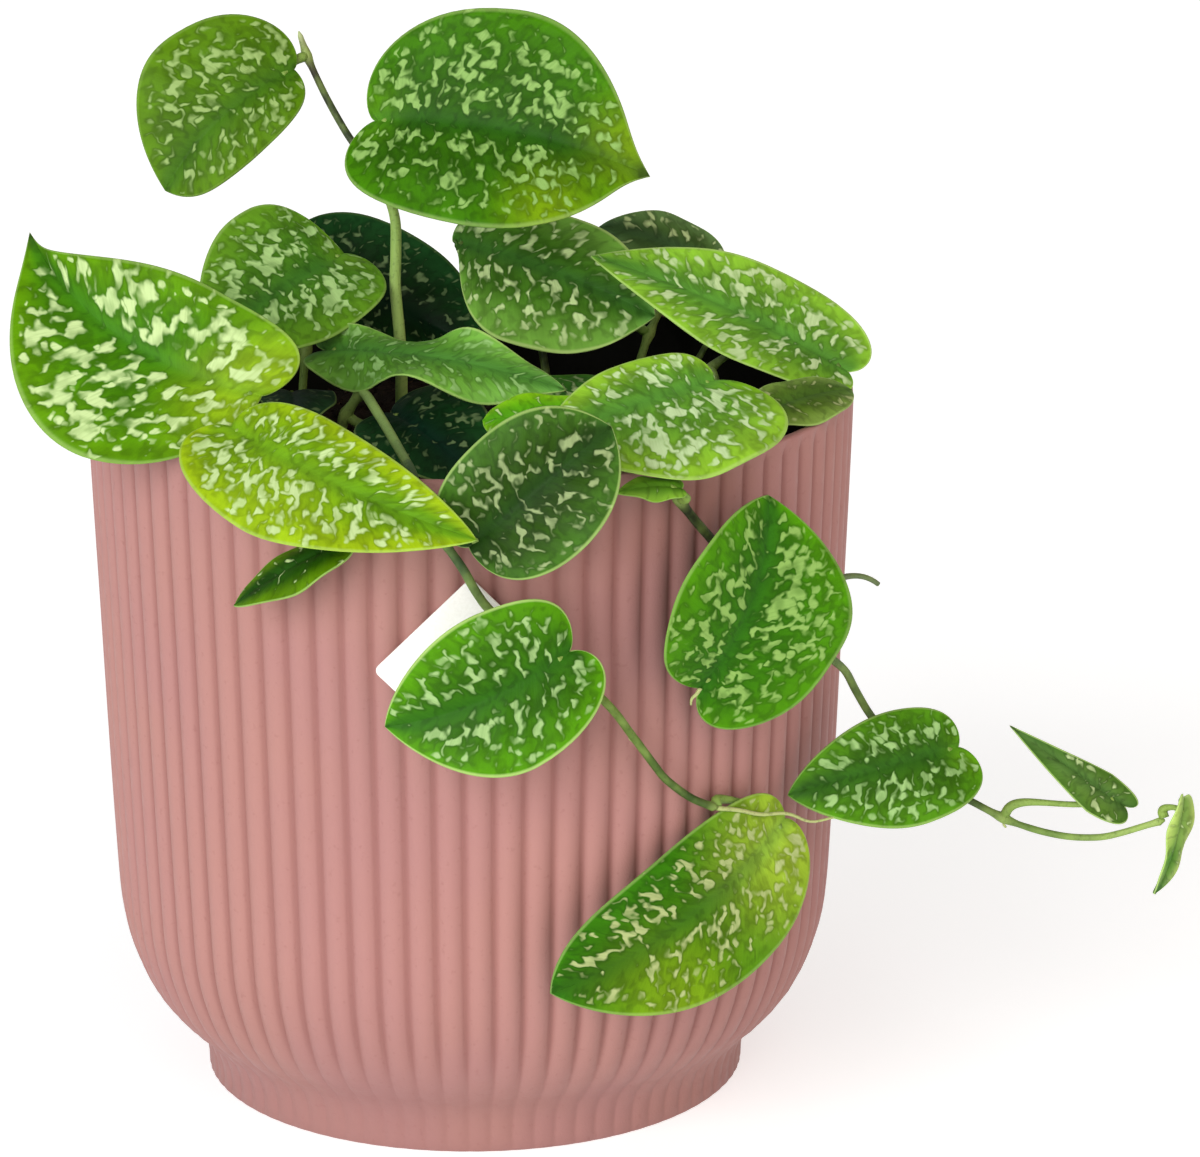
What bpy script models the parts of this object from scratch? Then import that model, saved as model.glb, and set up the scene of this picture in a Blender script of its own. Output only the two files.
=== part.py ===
"""Satin pothos growing in a round ribbed pot, with a blank card on the pot's front.

Lengths are in millimetres until a mesh is made, where MM turns them into metres.
+Z is up, the photograph is taken from -Y, and the origin is the middle of the pot's foot.
"""

import math

import bmesh
import bpy
from mathutils import Vector

MM = 0.001
GAP = 0.3  # left between pieces that touch on the real plant

# Pot: height and crest radius of each level of the outside, from the foot up to the lip
POT_LEVELS = (
    (0.0, 50.2),
    (5.0, 50.6),
    (9.0, 52.3),
    (14.0, 57.6),
    (20.0, 61.8),
    (30.0, 65.3),
    (42.0, 66.5),
    (95.0, 68.7),
    (128.0, 69.9),
    (131.0, 69.7),
)
# The same for the smooth inside, from the floor up to the lip
INNER_LEVELS = (
    (3.0, 46.0),
    (10.0, 49.5),
    (28.0, 61.5),
    (131.0, 68.0),
)
RIBS = 80
RIB_DEPTH = 1.2
RIB_STEPS = 3  # points round each rib
INNER_STEPS = 80  # points round the inside

# Soil
SOIL_TOP = 115.0
SOIL_LUMP = 1.3
SOIL_RINGS = 6
SOIL_STEPS = 32
HOLE_FLOOR = 98.0

# Card on the pot's front, a square standing on one corner
CARD_SIDE = 24.0
CARD_THICKNESS = 0.5
CARD_CENTRE = (1.5, 97.0)  # x and z
CARD_CORNER = 1.2

# Stems and leaves
STEM_STEP = 4.8  # spacing of the points along a stem
STEM_SIDES_RESOLUTION = 1
NODE_SWELL = 0.35
BLADE_THICKNESS = 0.8
BLADE_ROWS = 8
BLADE_COLUMNS = 2
PETIOLE_SIDES = 5
PETIOLE_STEPS = 4
PETIOLE_FOOT = 0.8  # radius at the stem
PETIOLE_NECK = 0.5  # radius at the blade
PETIOLE_DEPTH = 2.2  # how far it runs in under the midrib

# plant table starts
# Each stem: radius at its foot and at its tip, then the points it passes through.
# The first two points stand upright in the stem's hole in the soil.
STEMS = {
    "stem_1": (1.0, 0.6, [
        (-13, 6, 98.5), (-13, 6, 118), (-13, 7, 134), (-14, 9.5, 147), (-14, 13, 158),
        (-17, 16, 165), (-22.5, 20, 172), (-27, 24, 179), (-30.5, 27, 186), (-32, 27.5, 190.5)]),
    "stem_2": (1.0, 0.7, [
        (-24, -8, 98.5), (-24, -8, 118), (-22.5, -9.5, 127), (-19.5, -13, 132), (-16, -30, 133),
        (-9.6, -65, 133.3), (-8.4, -69.4, 132.4), (-6.6, -72.3, 128), (-3.4, -73, 122), (0.3, -73, 116.3),
        (4.4, -73, 109.5), (12.5, -73.5, 103), (24, -71, 92.5), (28.6, -67.3, 85.5), (35.2, -62.4, 75),
        (39.6, -59, 70.5), (44.2, -56, 67.6)]),
    "stem_3": (1.0, 0.6, [
        (20, -34, 98.5), (20, -34, 118), (22, -38, 126), (28, -51, 132.4), (33.5, -60, 133.5),
        (37.2, -62.8, 126), (42.6, -59, 118), (51.5, -51, 105.5), (57, -45.2, 98.8),
        (62.5, -38.5, 91.5), (67.7, -31, 85), (72.5, -27, 75.5), (83.5, -26, 63.5),
        (91.5, -26, 58.5), (97, -26, 55.5), (105, -27, 53), (114.5, -28, 52.5), (126, -30, 56.5)]),
    "stem_4": (1.0, 0.7, [
        (-46, -22, 98.5), (-46, -22, 118), (-43, -30, 128), (-38, -44, 133), (-33, -56, 134.6),
        (-29.5, -63, 133), (-27.5, -67.5, 127.6)]),
    "stem_5": (0.9, 0.7, [
        (-32, 16, 98.5), (-32, 16, 118), (-31, 18, 132), (-28, 20, 142)]),
    "stem_6": (0.9, 0.7, [
        (14, 30, 98.5), (14, 30, 118), (12, 33, 132), (8, 37, 142), (4, 38, 148)]),
    "stem_7": (0.9, 0.7, [
        (40, 18, 98.5), (40, 18, 118), (44, 20, 128), (53, 20, 133), (61, 12, 133)]),
    "stem_8": (0.9, 0.6, [
        (-8, 44, 98.5), (-8, 44, 118), (-9, 54, 128), (-10, 65, 133.4), (-10.5, 70, 132.6), (-12, 72.8, 127),
        (-14, 72.5, 114), (-12, 72.5, 98), (-3, 73, 84), (8, 73, 74)]),
    "stem_9": (0.9, 0.6, [
        (30, 40, 98.5), (30, 40, 118), (33, 48, 128), (37, 55.5, 133.5), (40, 58.5, 132.8),
        (42, 60.5, 125), (43, 60, 112), (40, 61, 98)]),
}

# Each leaf: the stem and the point of it that the leaf grows from, the notch and the tip of
# the blade, the way the upper face looks, and the width left and right of the midrib.
# The rest, where given, changes the shape set in PLAIN_BLADE.
LEAVES = {
    "leaf_01": dict(stem="stem_1", joint=8, base=(-32.8, 23, 184.2), tip=(-56.3, 16, 163),
                    face=(-0.25, -1, 0.35), widths=(10, 17.8), sweep=-2, wide=0.34, full=(1.0, 0.75),
                    lobes=(0.0, 0.14)),
    "leaf_02": dict(stem="stem_1", joint=5, base=(-17.2, 7.5, 177.7), tip=(30.2, -3.5, 170.8),
                    face=(0.1, -1, 0.55), widths=(22.5, 20), sweep=2, wide=0.42, full=(0.5, 0.5),
                    lobes=(0.09, 0.11), drip=0.05),
    "leaf_03": dict(stem="stem_4", joint=3, base=(-35.5, -43.4, 139.3), tip=(-76.5, -22, 161.8),
                    face=(-0.25, -1, 0.75), widths=(22.5, 16), sweep=6, wide=0.34, full=(0.6, 0.0),
                    lobes=(0.02, 0.08), drip=0.04),
    "leaf_04": dict(stem="stem_4", joint=4, base=(-40, -56, 137), tip=(3, -89, 126),
                    face=(0, -1, 0.8), widths=(10, 15.5), sweep=-2.5, wide=0.3, full=(0.35, 0.35),
                    lobes=(0.0, 0.15)),
    "leaf_05": dict(stem="stem_5", joint=3, base=(-23.5, 12, 152), tip=(-47, -9, 140),
                    face=(-0.2, -1, 0.6), widths=(14.5, 16.8), wide=0.26, full=(0.9, 0.6), lobes=(0.1, 0.0)),
    "leaf_06": dict(stem="stem_5", joint=2, base=(-34, 34, 145.5), tip=(1.5, 20, 131),
                    face=(0.1, -1, 0.7), widths=(14.2, 13), full=(0.7, 0.42)),
    "leaf_07": dict(stem="stem_6", joint=4, base=(-3.7, 25, 151.3), tip=(33.7, 7, 141.3),
                    face=(0.1, -1, 0.8), widths=(12, 18), wide=0.46, full=(0.5, 0.7),
                    lobes=(0.04, -0.12)),
    "leaf_08": dict(stem="stem_7", joint=4, base=(68.3, -7.8, 134.8), tip=(22, 5, 153),
                    face=(0.2, -0.8, 1.0), widths=(10.6, 12.6), full=(0.25, 0.25), lobes=(0.07, 0.08)),
    "leaf_09": dict(stem="stem_9", joint=1, base=(45.7, 44, 141.7), tip=(23.5, 40, 150.7),
                    face=(0.1, -0.8, 0.8), widths=(8, 7)),
    "leaf_10": dict(stem="stem_2", joint=3, base=(-26, -5, 138), tip=(17.5, -29, 136.5),
                    face=(0, -0.8, 1), widths=(6, 8.5), arch=3, wide=0.4, full=(0.5, 0.5),
                    wave=4.0, phase=0.25),
    "leaf_11": dict(stem="stem_3", joint=3, base=(43.6, -44, 142.2), tip=(14.5, -66, 137.5),
                    face=(0.1, -0.9, 0.9), widths=(19.5, 8.5), lobes=(0.27, 0.02), wide=0.3, full=(0.6, 0.6),
                    arch=1),
    "leaf_12": dict(stem="stem_2", joint=8, base=(1.5, -80.5, 122.5), tip=(25.5, -79, 143),
                    face=(0, -1, 0.35), widths=(12.6, 13), wide=0.37, full=(0.85, 0.75), lobes=(0.1, 0.02)),
    "leaf_13": dict(stem="stem_4", joint=6, base=(-20, -71, 120.5), tip=(-39.2, -67, 108),
                    face=(-0.3, -0.6, 1), widths=(6, 5), arch=1),
    "leaf_14": dict(stem="stem_2", joint=11, base=(18.3, -79, 103.4), tip=(-13, -80, 90.5),
                    face=(0, -1, 0.25), widths=(14.3, 14), sweep=2, wide=0.34, lobes=(0.17, 0.09)),
    "leaf_15": dict(stem="stem_2", joint=16, base=(56.5, -47, 62.5), tip=(15, -76, 40.5),
                    face=(0.35, -1, 0.2), widths=(15, 12.8), sweep=3.5, wide=0.36, full=(0.55, 0.8),
                    lobes=(0.05, 0.02), rise=0.12),
    "leaf_16": dict(stem="stem_3", joint=7, base=(41, -63, 92), tip=(52.6, -57, 125),
                    face=(0.6, -0.8, 0.2), widths=(17, 20.5), sweep=-2.6, wide=0.36, full=(0.6, 0.6),
                    lobes=(0.01, 0.22)),
    "leaf_17": dict(stem="stem_3", joint=12, base=(88, -32, 71), tip=(57.2, -42, 65.3),
                    face=(0.2, -1, 0.5), widths=(12, 9.5), lobes=(0.13, 0.045), wide=0.3),
    "leaf_18": dict(stem="stem_3", joint=14, base=(118.6, -28, 58.6), tip=(98, -24, 72.5),
                    face=(-0.55, -0.65, 0.5), widths=(5.2, 4), fold=30, arch=1, wide=0.2,
                    full=(0.1, 0.1), shoulder=0.75, arrive=(0.93, 0, 0.4), rise=0.22),
    "leaf_19": dict(stem="stem_3", joint=17, base=(129, -31, 60.5), tip=(124, -34, 43.8),
                    face=(0.75, -0.5, 0.2), widths=(4, 3.2), fold=28, arch=1),
    "leaf_20": dict(stem="stem_5", joint=1, base=(-33, 2, 128), tip=(-31, -24, 127),
                    face=(0.1, -0.4, 1), widths=(8, 7)),
    "leaf_21": dict(stem="stem_2", joint=2, base=(-14, -16, 129), tip=(3, -37, 120.5),
                    face=(0.2, -1, 0.9), widths=(12, 11)),
    "leaf_22": dict(stem="stem_3", joint=2, base=(20, -50, 137), tip=(3.2, -44, 134.8),
                    face=(-0.1, -0.8, 1), widths=(5.2, 5.2), full=(0.9, 0.9), arch=1),
    "leaf_23": dict(stem="stem_7", joint=2, base=(53, -33, 134), tip=(68.6, -19, 134),
                    face=(0.1, -0.6, 1), widths=(5.5, 6.5), full=(0.6, 0.6), arch=1),
    "leaf_24": dict(stem="stem_3", joint=5, base=(37.4, -67, 129), tip=(26.5, -71.8, 129.4),
                    face=(0.2, -0.7, 1), widths=(2.2, 3.0), arch=1),
    "leaf_25": dict(stem="stem_8", joint=5, base=(-24, 74, 124), tip=(-54, 66, 112),
                    face=(-0.3, 0.8, 0.5), widths=(14, 15)),
    "leaf_26": dict(stem="stem_8", joint=7, base=(-20, 79, 96), tip=(-32, 78, 64),
                    face=(-0.35, 1, 0.15), widths=(14, 13)),
    "leaf_27": dict(stem="stem_8", joint=9, base=(13, 77, 70), tip=(14, 80, 37),
                    face=(0.15, 1, 0.2), widths=(15, 14)),
    "leaf_28": dict(stem="stem_8", joint=3, base=(2, 74, 132), tip=(18, 92, 110),
                    face=(0.2, 0.8, 0.9), widths=(15, 15)),
    "leaf_29": dict(stem="stem_9", joint=7, base=(40, 69, 92), tip=(45, 67, 60),
                    face=(0.4, 1, 0.2), widths=(13, 14)),
    "leaf_30": dict(stem="stem_9", joint=5, base=(52, 61, 122), tip=(62, 58, 96),
                    face=(0.8, 0.7, 0.4), widths=(14, 13)),
    "leaf_31": dict(stem="stem_8", joint=2, base=(-17, 50, 137), tip=(-46, 56, 135),
                    face=(-0.2, 0.3, 1), widths=(14, 14)),
    "leaf_32": dict(stem="stem_9", joint=2, base=(25, 50, 136), tip=(2, 60, 133),
                    face=(0.0, 0.5, 1), widths=(12, 13)),
    "leaf_33": dict(stem="stem_9", joint=3, base=(54, 44, 133.5), tip=(69, 26, 135),
                    face=(0.5, 0.3, 1), widths=(11, 10)),
    "leaf_34": dict(stem="stem_5", joint=1, base=(-40, 24, 131), tip=(-60, 4, 134),
                    face=(-0.4, 0.1, 1), widths=(11, 11)),
    "leaf_35": dict(stem="stem_7", joint=1, base=(29, 10, 123), tip=(3, 1, 121),
                    face=(0.1, -0.2, 1), widths=(11, 12)),
    "leaf_36": dict(stem="stem_3", joint=1, base=(31, -26, 122), tip=(53, -13, 120),
                    face=(0.0, -0.3, 1), widths=(9, 9)),
    "leaf_37": dict(stem="stem_7", joint=1, base=(50, 25, 122), tip=(56, 3, 121),
                    face=(0.1, -0.2, 1), widths=(7, 8)),
}

PLAIN_BLADE = dict(
    lobes=(0.1, 0.1),  # how far each lobe runs back past the notch, in blade lengths
    wide=0.32,  # where along the midrib the blade is widest
    full=(0.42, 0.42),  # how full each side's outline stays toward the tip
    sweep=0.0,  # sideways bend of the midrib
    arch=2.5,  # rise of the midrib between notch and tip
    fold=12.0,  # degrees that each half lifts
    droop=1.5,  # fall of the margins
    wave=0.5,  # ripple of the margins
    phase=0.0,  # where along the blade the ripple starts
    shoulder=1.06,  # how long the sides stay wide
    drip=0.0,  # how far the tip is drawn out, in blade lengths
)
# plant table ends

# A leaf stalk without its leaf: its stem, the point of it, and where the stalk bends and ends
BARE_PETIOLE = dict(stem="stem_3", joint=8, bend=(67.4, -36, 107.6), end=(73.2, -34, 102.2))

POT_PINK = (0.60, 0.29, 0.26)
SOIL_BROWN = (0.045, 0.028, 0.02)
CARD_WHITE = (0.85, 0.85, 0.83)
STEM_GREEN = (0.20, 0.30, 0.08)
LEAF_GREEN = (0.10, 0.27, 0.05)


def clear_scene():
    for obj in list(bpy.data.objects):
        bpy.data.objects.remove(obj, do_unlink=True)


def material(name, colour, roughness):
    made = bpy.data.materials.new(name)
    made.use_nodes = True
    shader = made.node_tree.nodes["Principled BSDF"]
    shader.inputs["Base Color"].default_value = (*colour, 1.0)
    shader.inputs["Roughness"].default_value = roughness
    shader.inputs["Metallic"].default_value = 0.0
    return made


def add_object(name, data, made_of=None, helper=False):
    obj = bpy.data.objects.new(name, data)
    bpy.context.scene.collection.objects.link(obj)
    if made_of:
        data.materials.append(made_of)
    if helper:
        obj.hide_render = True
        obj.display_type = "WIRE"
    return obj


def mesh_from(name, vertices, faces):
    mesh = bpy.data.meshes.new(name)
    mesh.from_pydata([Vector(v) * MM for v in vertices], [], faces)
    shell = bmesh.new()
    shell.from_mesh(mesh)
    bmesh.ops.recalc_face_normals(shell, faces=shell.faces)
    shell.to_mesh(mesh)
    shell.free()
    return mesh


def smooth(mesh, angle):
    mesh.shade_smooth()
    mesh.set_sharp_from_angle(angle=math.radians(angle))


def between(table, height):
    """Straight-line reading of a table of (height, value) pairs."""
    for (low, first), (high, second) in zip(table, table[1:]):
        if height <= high:
            return first + (second - first) * (height - low) / (high - low)
    return table[-1][1]


def rings_to_mesh(name, rings):
    """Closed mesh of rings, capped at both ends. A ring has as many points as the last, or a whole share."""
    vertices = [point for ring in rings for point in ring]
    faces = [tuple(reversed(range(len(rings[0]))))]
    start = 0
    for ring, following in zip(rings, rings[1:]):
        count, fewer = len(ring), len(following)
        share = count // fewer
        second = start + count
        for i in range(fewer):
            near = [start + (i * share + k) % count for k in range(share + 1)]
            faces.append((*near, second + (i + 1) % fewer, second + i))
        start = second
    faces.append(tuple(range(start, len(vertices))))
    return mesh_from(name, vertices, faces)


def circle(radius, height, count):
    turn = [math.tau * i / count for i in range(count)]
    return [(radius * math.cos(a), radius * math.sin(a), height) for a in turn]


def make_pot():
    count = RIBS * RIB_STEPS
    rings = []
    for level, (height, crest) in enumerate(POT_LEVELS):
        # The ribs run out at the foot's edge and just below the lip.
        depth = 0.0 if level in (0, len(POT_LEVELS) - 1) else RIB_DEPTH
        ring = []
        for i in range(count):
            angle = math.tau * i / count
            radius = crest - depth * (1 - abs(math.sin(RIBS * angle / 2)))
            ring.append((radius * math.cos(angle), radius * math.sin(angle), height))
        rings.append(ring)
    for height, radius in reversed(INNER_LEVELS):
        rings.append(circle(radius, height, INNER_STEPS))
    mesh = rings_to_mesh("pot", rings)
    smooth(mesh, 40)
    add_object("pot", mesh, material("pot_plastic", POT_PINK, 0.5))


def soil_height(x, y):
    """Lumpy top of the soil, highest in the middle."""
    lumps = math.sin(0.21 * x + 0.6) * math.cos(0.19 * y - 0.4) + 0.6 * math.sin(0.37 * y + 0.23 * x)
    return SOIL_TOP + SOIL_LUMP * lumps * 0.6


def make_soil():
    rings = []
    for height, inner in INNER_LEVELS[:-1]:
        rings.append(circle(inner - GAP, height + GAP, SOIL_STEPS))
    edge = between(INNER_LEVELS, SOIL_TOP - 3) - GAP
    for ring_index in range(SOIL_RINGS):
        radius = edge * (1 - ring_index / SOIL_RINGS)
        ring = []
        for i in range(SOIL_STEPS):
            angle = math.tau * i / SOIL_STEPS
            x, y = radius * math.cos(angle), radius * math.sin(angle)
            drop = 2.0 if ring_index == 0 else 0.0
            ring.append((x, y, soil_height(x, y) - drop))
        rings.append(ring)
    mesh = rings_to_mesh("soil", rings)
    smooth(mesh, 50)
    soil = add_object("soil", mesh, material("soil_peat", SOIL_BROWN, 0.95))
    for name, (foot_radius, _, points) in STEMS.items():
        x, y, _ = points[0]
        radius = foot_radius + NODE_SWELL + 2 * GAP
        turn = [math.tau * i / 10 for i in range(10)]
        well = [
            [(x + radius * math.cos(a), y + radius * math.sin(a), height) for a in turn]
            for height in (HOLE_FLOOR, SOIL_TOP + 12)
        ]
        cutter = add_object("hole_" + name, rings_to_mesh("hole_" + name, well), helper=True)
        hole = soil.modifiers.new("hole_" + name, "BOOLEAN")
        hole.operation = "DIFFERENCE"
        hole.object = cutter


def make_card():
    shell = bmesh.new()
    bmesh.ops.create_cube(shell, size=1.0)
    for vertex in shell.verts:
        vertex.co.x *= CARD_SIDE * MM
        vertex.co.y *= CARD_THICKNESS * MM
        vertex.co.z *= CARD_SIDE * MM
    corners = [e for e in shell.edges if abs(e.verts[0].co.y - e.verts[1].co.y) > 1e-6]
    bmesh.ops.bevel(shell, geom=corners, offset=CARD_CORNER * MM, segments=3, affect="EDGES", profile=0.5)
    mesh = bpy.data.meshes.new("label")
    shell.to_mesh(mesh)
    shell.free()
    card = add_object("label", mesh, material("label_card", CARD_WHITE, 0.6))
    x, z = CARD_CENTRE
    lean = math.atan2(between(POT_LEVELS, z + 10) - between(POT_LEVELS, z - 10), 20.0)
    front = between(POT_LEVELS, z) + GAP + CARD_THICKNESS / 2
    card.location = Vector((x, -front, z)) * MM
    card.rotation_mode = "XYZ"
    card.rotation_euler = (lean, math.radians(45), 0.0)


def smooth_path(points, step):
    """Points about step apart on a smooth curve through the given ones, and where each given one falls."""
    points = [Vector(p) for p in points]
    ends = [points[0] * 2 - points[1]] + points + [points[-1] * 2 - points[-2]]
    path, marks = [], []
    for i in range(len(points) - 1):
        a, b, c, d = ends[i : i + 4]
        pieces = max(1, round((c - b).length / step))
        marks.append(len(path))
        for k in range(pieces):
            t = k / pieces
            bend = (2 * a - 5 * b + 4 * c - d) * t**2 + (3 * b - a - 3 * c + d) * t**3
            path.append(0.5 * (2 * b + (c - a) * t + bend))
    marks.append(len(path))
    path.append(points[-1])
    return path, marks


def stem_radius(name, share):
    foot, tip, _ = STEMS[name]
    return foot + (tip - foot) * share


def make_stem(name, made_of):
    path, marks = smooth_path(STEMS[name][2], STEM_STEP)
    stalks = [*LEAVES.values(), BARE_PETIOLE]
    swollen = {marks[stalk["joint"]] for stalk in stalks if stalk["stem"] == name}
    curve = bpy.data.curves.new(name, "CURVE")
    curve.dimensions = "3D"
    curve.bevel_depth = MM
    curve.bevel_resolution = STEM_SIDES_RESOLUTION
    curve.use_fill_caps = True
    spline = curve.splines.new("POLY")
    spline.points.add(len(path) - 1)
    for i, point in enumerate(path):
        spline.points[i].co = (*(point * MM), 1.0)
        radius = stem_radius(name, i / (len(path) - 1))
        spline.points[i].radius = radius + (NODE_SWELL if i in swollen else 0.0)
    add_object(name, curve, made_of)


def bezier(p0, p1, p2, p3, t):
    return p0 * (1 - t) ** 3 + p1 * 3 * (1 - t) ** 2 * t + p2 * 3 * (1 - t) * t**2 + p3 * t**3


def half_outline(t, lobe, wide, full, shoulder):
    """Half of a heart outline: place along the midrib and share of the width, from notch to tip."""
    if t < 0.45:
        points = ((0, 0), (-0.8 * lobe, 0.08), (-1.7 * lobe - 0.02, 0.9), (wide, 1.0))
        share = t / 0.45
    else:
        points = ((wide, 1.0), (wide + 0.30, shoulder), (0.92, full), (1.0, 0.0))
        share = (t - 0.45) / 0.55
    return bezier(*(Vector(p) for p in points), share)


def drip_reach(t, drip):
    """How far the rows next to the tip are drawn out."""
    return drip * max(0.0, (t - 0.86) / 0.14) ** 3


class Blade:
    """The curved sheet of one leaf. Rows run from the midrib to the margin as its side veins do."""

    def __init__(self, leaf):
        self.shape = {**PLAIN_BLADE, **leaf}
        self.base = Vector(leaf["base"])
        along = Vector(leaf["tip"]) - self.base
        self.length = along.length
        self.along = along.normalized()
        face = Vector(leaf["face"])
        self.up = (face - self.along * face.dot(self.along)).normalized()
        self.left = self.up.cross(self.along)

    def point(self, side, t, w):
        """side 0 is left and 1 right, t runs from notch to tip, w from the midrib to the margin."""
        shape = self.shape
        width = shape["widths"][side]
        edge = half_outline(t, shape["lobes"][side], shape["wide"], shape["full"][side], shape["shoulder"])
        x = self.length * (t * t * (1 - w) + edge.x * w + drip_reach(t, shape["drip"]))
        y = width * edge.y * w
        s = x / self.length
        spread = y / width
        lift = math.radians(shape["fold"])
        height = y * math.sin(lift) - shape["droop"] * spread**2 + shape["arch"] * 4 * s * (1 - s)
        height += shape["wave"] * math.sin(math.tau * (1.6 * s + 0.25 * side + shape["phase"])) * spread**2
        sideways = (y if side == 0 else -y) * math.cos(lift) + shape["sweep"] * 4 * s * (1 - s)
        return self.base + self.along * x + self.left * sideways + self.up * height


def blade_sheet(name, blade):
    """Open sheet of the blade, its upper side along the face direction."""
    shell = bmesh.new()
    rows, columns = BLADE_ROWS, BLADE_COLUMNS
    notch = shell.verts.new(blade.point(0, 0, 0) * MM)
    tip = shell.verts.new(blade.point(0, 1, 0) * MM)
    midrib = [shell.verts.new(blade.point(0, i / rows, 0) * MM) for i in range(1, rows)]
    for side in (0, 1):
        grid = []
        for i in range(1, rows):
            row = [blade.point(side, i / rows, j / columns) for j in range(1, columns + 1)]
            grid.append([midrib[i - 1]] + [shell.verts.new(point * MM) for point in row])
        faces = []
        for j in range(columns):
            faces.append((notch, grid[0][j], grid[0][j + 1]))
            faces.append((tip, grid[-1][j + 1], grid[-1][j]))
            for lower, upper in zip(grid, grid[1:]):
                faces.append((lower[j], upper[j], upper[j + 1], lower[j + 1]))
        for face in faces:
            shell.faces.new(face if side == 0 else tuple(reversed(face)))
    mesh = bpy.data.meshes.new(name)
    shell.to_mesh(mesh)
    shell.free()
    return mesh


def tube(name, path, radii, sides):
    """Closed tube round a path."""
    rings = []
    across = None
    for i, (point, radius) in enumerate(zip(path, radii)):
        ahead = path[min(i + 1, len(path) - 1)] - path[max(i - 1, 0)]
        ahead.normalize()
        if across is None:
            across = ahead.orthogonal()
        across = (across - ahead * across.dot(ahead)).normalized()
        over = ahead.cross(across)
        turn = [math.tau * k / sides for k in range(sides)]
        rings.append([point + (across * math.cos(a) + over * math.sin(a)) * radius for a in turn])
    return rings_to_mesh(name, rings)


def leave_stem(piece, aim):
    """Where a stalk starts just clear of its stem, and its way out, square to the stem and toward aim."""
    path, marks = smooth_path(STEMS[piece["stem"]][2], STEM_STEP)
    place = marks[piece["joint"]]
    joint = path[place]
    stem_way = (path[min(place + 1, len(path) - 1)] - path[max(place - 1, 0)]).normalized()
    square = aim - joint
    square = (square - stem_way * square.dot(stem_way)).normalized()
    clearance = stem_radius(piece["stem"], place / (len(path) - 1)) + NODE_SWELL + 1.4 * GAP
    return joint + square * clearance, square


def petiole_path(leaf, blade):
    """The stalk leaves its stem square to it and runs in under the blade's midrib."""
    end = blade.point(0, math.sqrt(PETIOLE_DEPTH / blade.length), 0)
    start, square = leave_stem(leaf, end - blade.along * 4 - blade.up * 3)
    reach = (end - start).length
    arrive = Vector(leaf["arrive"]) if "arrive" in leaf else blade.along * 0.85 + blade.up * 0.5
    arrive.normalize()
    first = start + square * reach * leaf.get("rise", 0.35)
    second = end - arrive * reach * 0.4
    return [bezier(start, first, second, end, i / PETIOLE_STEPS) for i in range(PETIOLE_STEPS + 1)]


def make_leaf(name, leaf, made_of):
    blade = Blade(leaf)
    mesh = blade_sheet(name, blade)
    smooth(mesh, 60)
    obj = add_object(name, mesh, made_of)
    solid = obj.modifiers.new("thickness", "SOLIDIFY")
    solid.thickness = BLADE_THICKNESS * MM
    solid.offset = 0.0
    path = petiole_path(leaf, blade)
    steps = len(path) - 1
    radii = [PETIOLE_FOOT + (PETIOLE_NECK - PETIOLE_FOOT) * i / steps for i in range(steps + 1)]
    stalk = add_object("stalk_" + name, tube("stalk_" + name, path, radii, PETIOLE_SIDES), helper=True)
    join = obj.modifiers.new("stalk", "BOOLEAN")
    join.operation = "UNION"
    join.object = stalk


def make_bare_petiole(made_of):
    bend, end = Vector(BARE_PETIOLE["bend"]), Vector(BARE_PETIOLE["end"])
    start, square = leave_stem(BARE_PETIOLE, bend)
    path = [bezier(start, start + square * 3, bend, end, i / PETIOLE_STEPS) for i in range(PETIOLE_STEPS + 1)]
    steps = len(path) - 1
    radii = [PETIOLE_FOOT - 0.2 * i / steps for i in range(steps + 1)]
    add_object("petiole_bare", tube("petiole_bare", path, radii, PETIOLE_SIDES), made_of)


def main():
    clear_scene()
    make_pot()
    make_soil()
    make_card()
    green_stem = material("stem_green", STEM_GREEN, 0.5)
    green_leaf = material("leaf_green", LEAF_GREEN, 0.4)
    for name in STEMS:
        make_stem(name, green_stem)
    for name, leaf in LEAVES.items():
        make_leaf(name, leaf, green_leaf)
    make_bare_petiole(green_stem)


main()
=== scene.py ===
"""Looks of the satin pothos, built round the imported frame.

Leaves, stems, soil, pot and card are finer pieces on the frame's own curves. Lengths are in
millimetres until a mesh is made, where MM turns them into metres. The frame's origin and axes
are kept.
"""

import math
import random

import bpy
from mathutils import Euler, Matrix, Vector, noise

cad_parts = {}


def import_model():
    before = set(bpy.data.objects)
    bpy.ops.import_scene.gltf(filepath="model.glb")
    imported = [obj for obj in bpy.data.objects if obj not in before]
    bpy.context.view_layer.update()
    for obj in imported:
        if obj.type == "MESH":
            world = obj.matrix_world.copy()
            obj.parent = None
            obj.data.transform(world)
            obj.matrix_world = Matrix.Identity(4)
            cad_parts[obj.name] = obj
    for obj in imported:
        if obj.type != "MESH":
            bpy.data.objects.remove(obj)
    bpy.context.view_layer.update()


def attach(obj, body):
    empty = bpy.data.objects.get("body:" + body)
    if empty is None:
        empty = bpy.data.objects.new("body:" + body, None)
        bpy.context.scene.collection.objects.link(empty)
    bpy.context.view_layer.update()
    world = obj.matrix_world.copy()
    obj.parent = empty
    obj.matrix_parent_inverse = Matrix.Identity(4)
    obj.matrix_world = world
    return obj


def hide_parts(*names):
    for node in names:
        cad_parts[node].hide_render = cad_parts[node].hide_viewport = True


MM = 0.001
VALUE_KINDS = {1: ("FLOAT", "value"), 3: ("FLOAT_VECTOR", "vector"), 4: ("FLOAT_COLOR", "color")}

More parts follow.
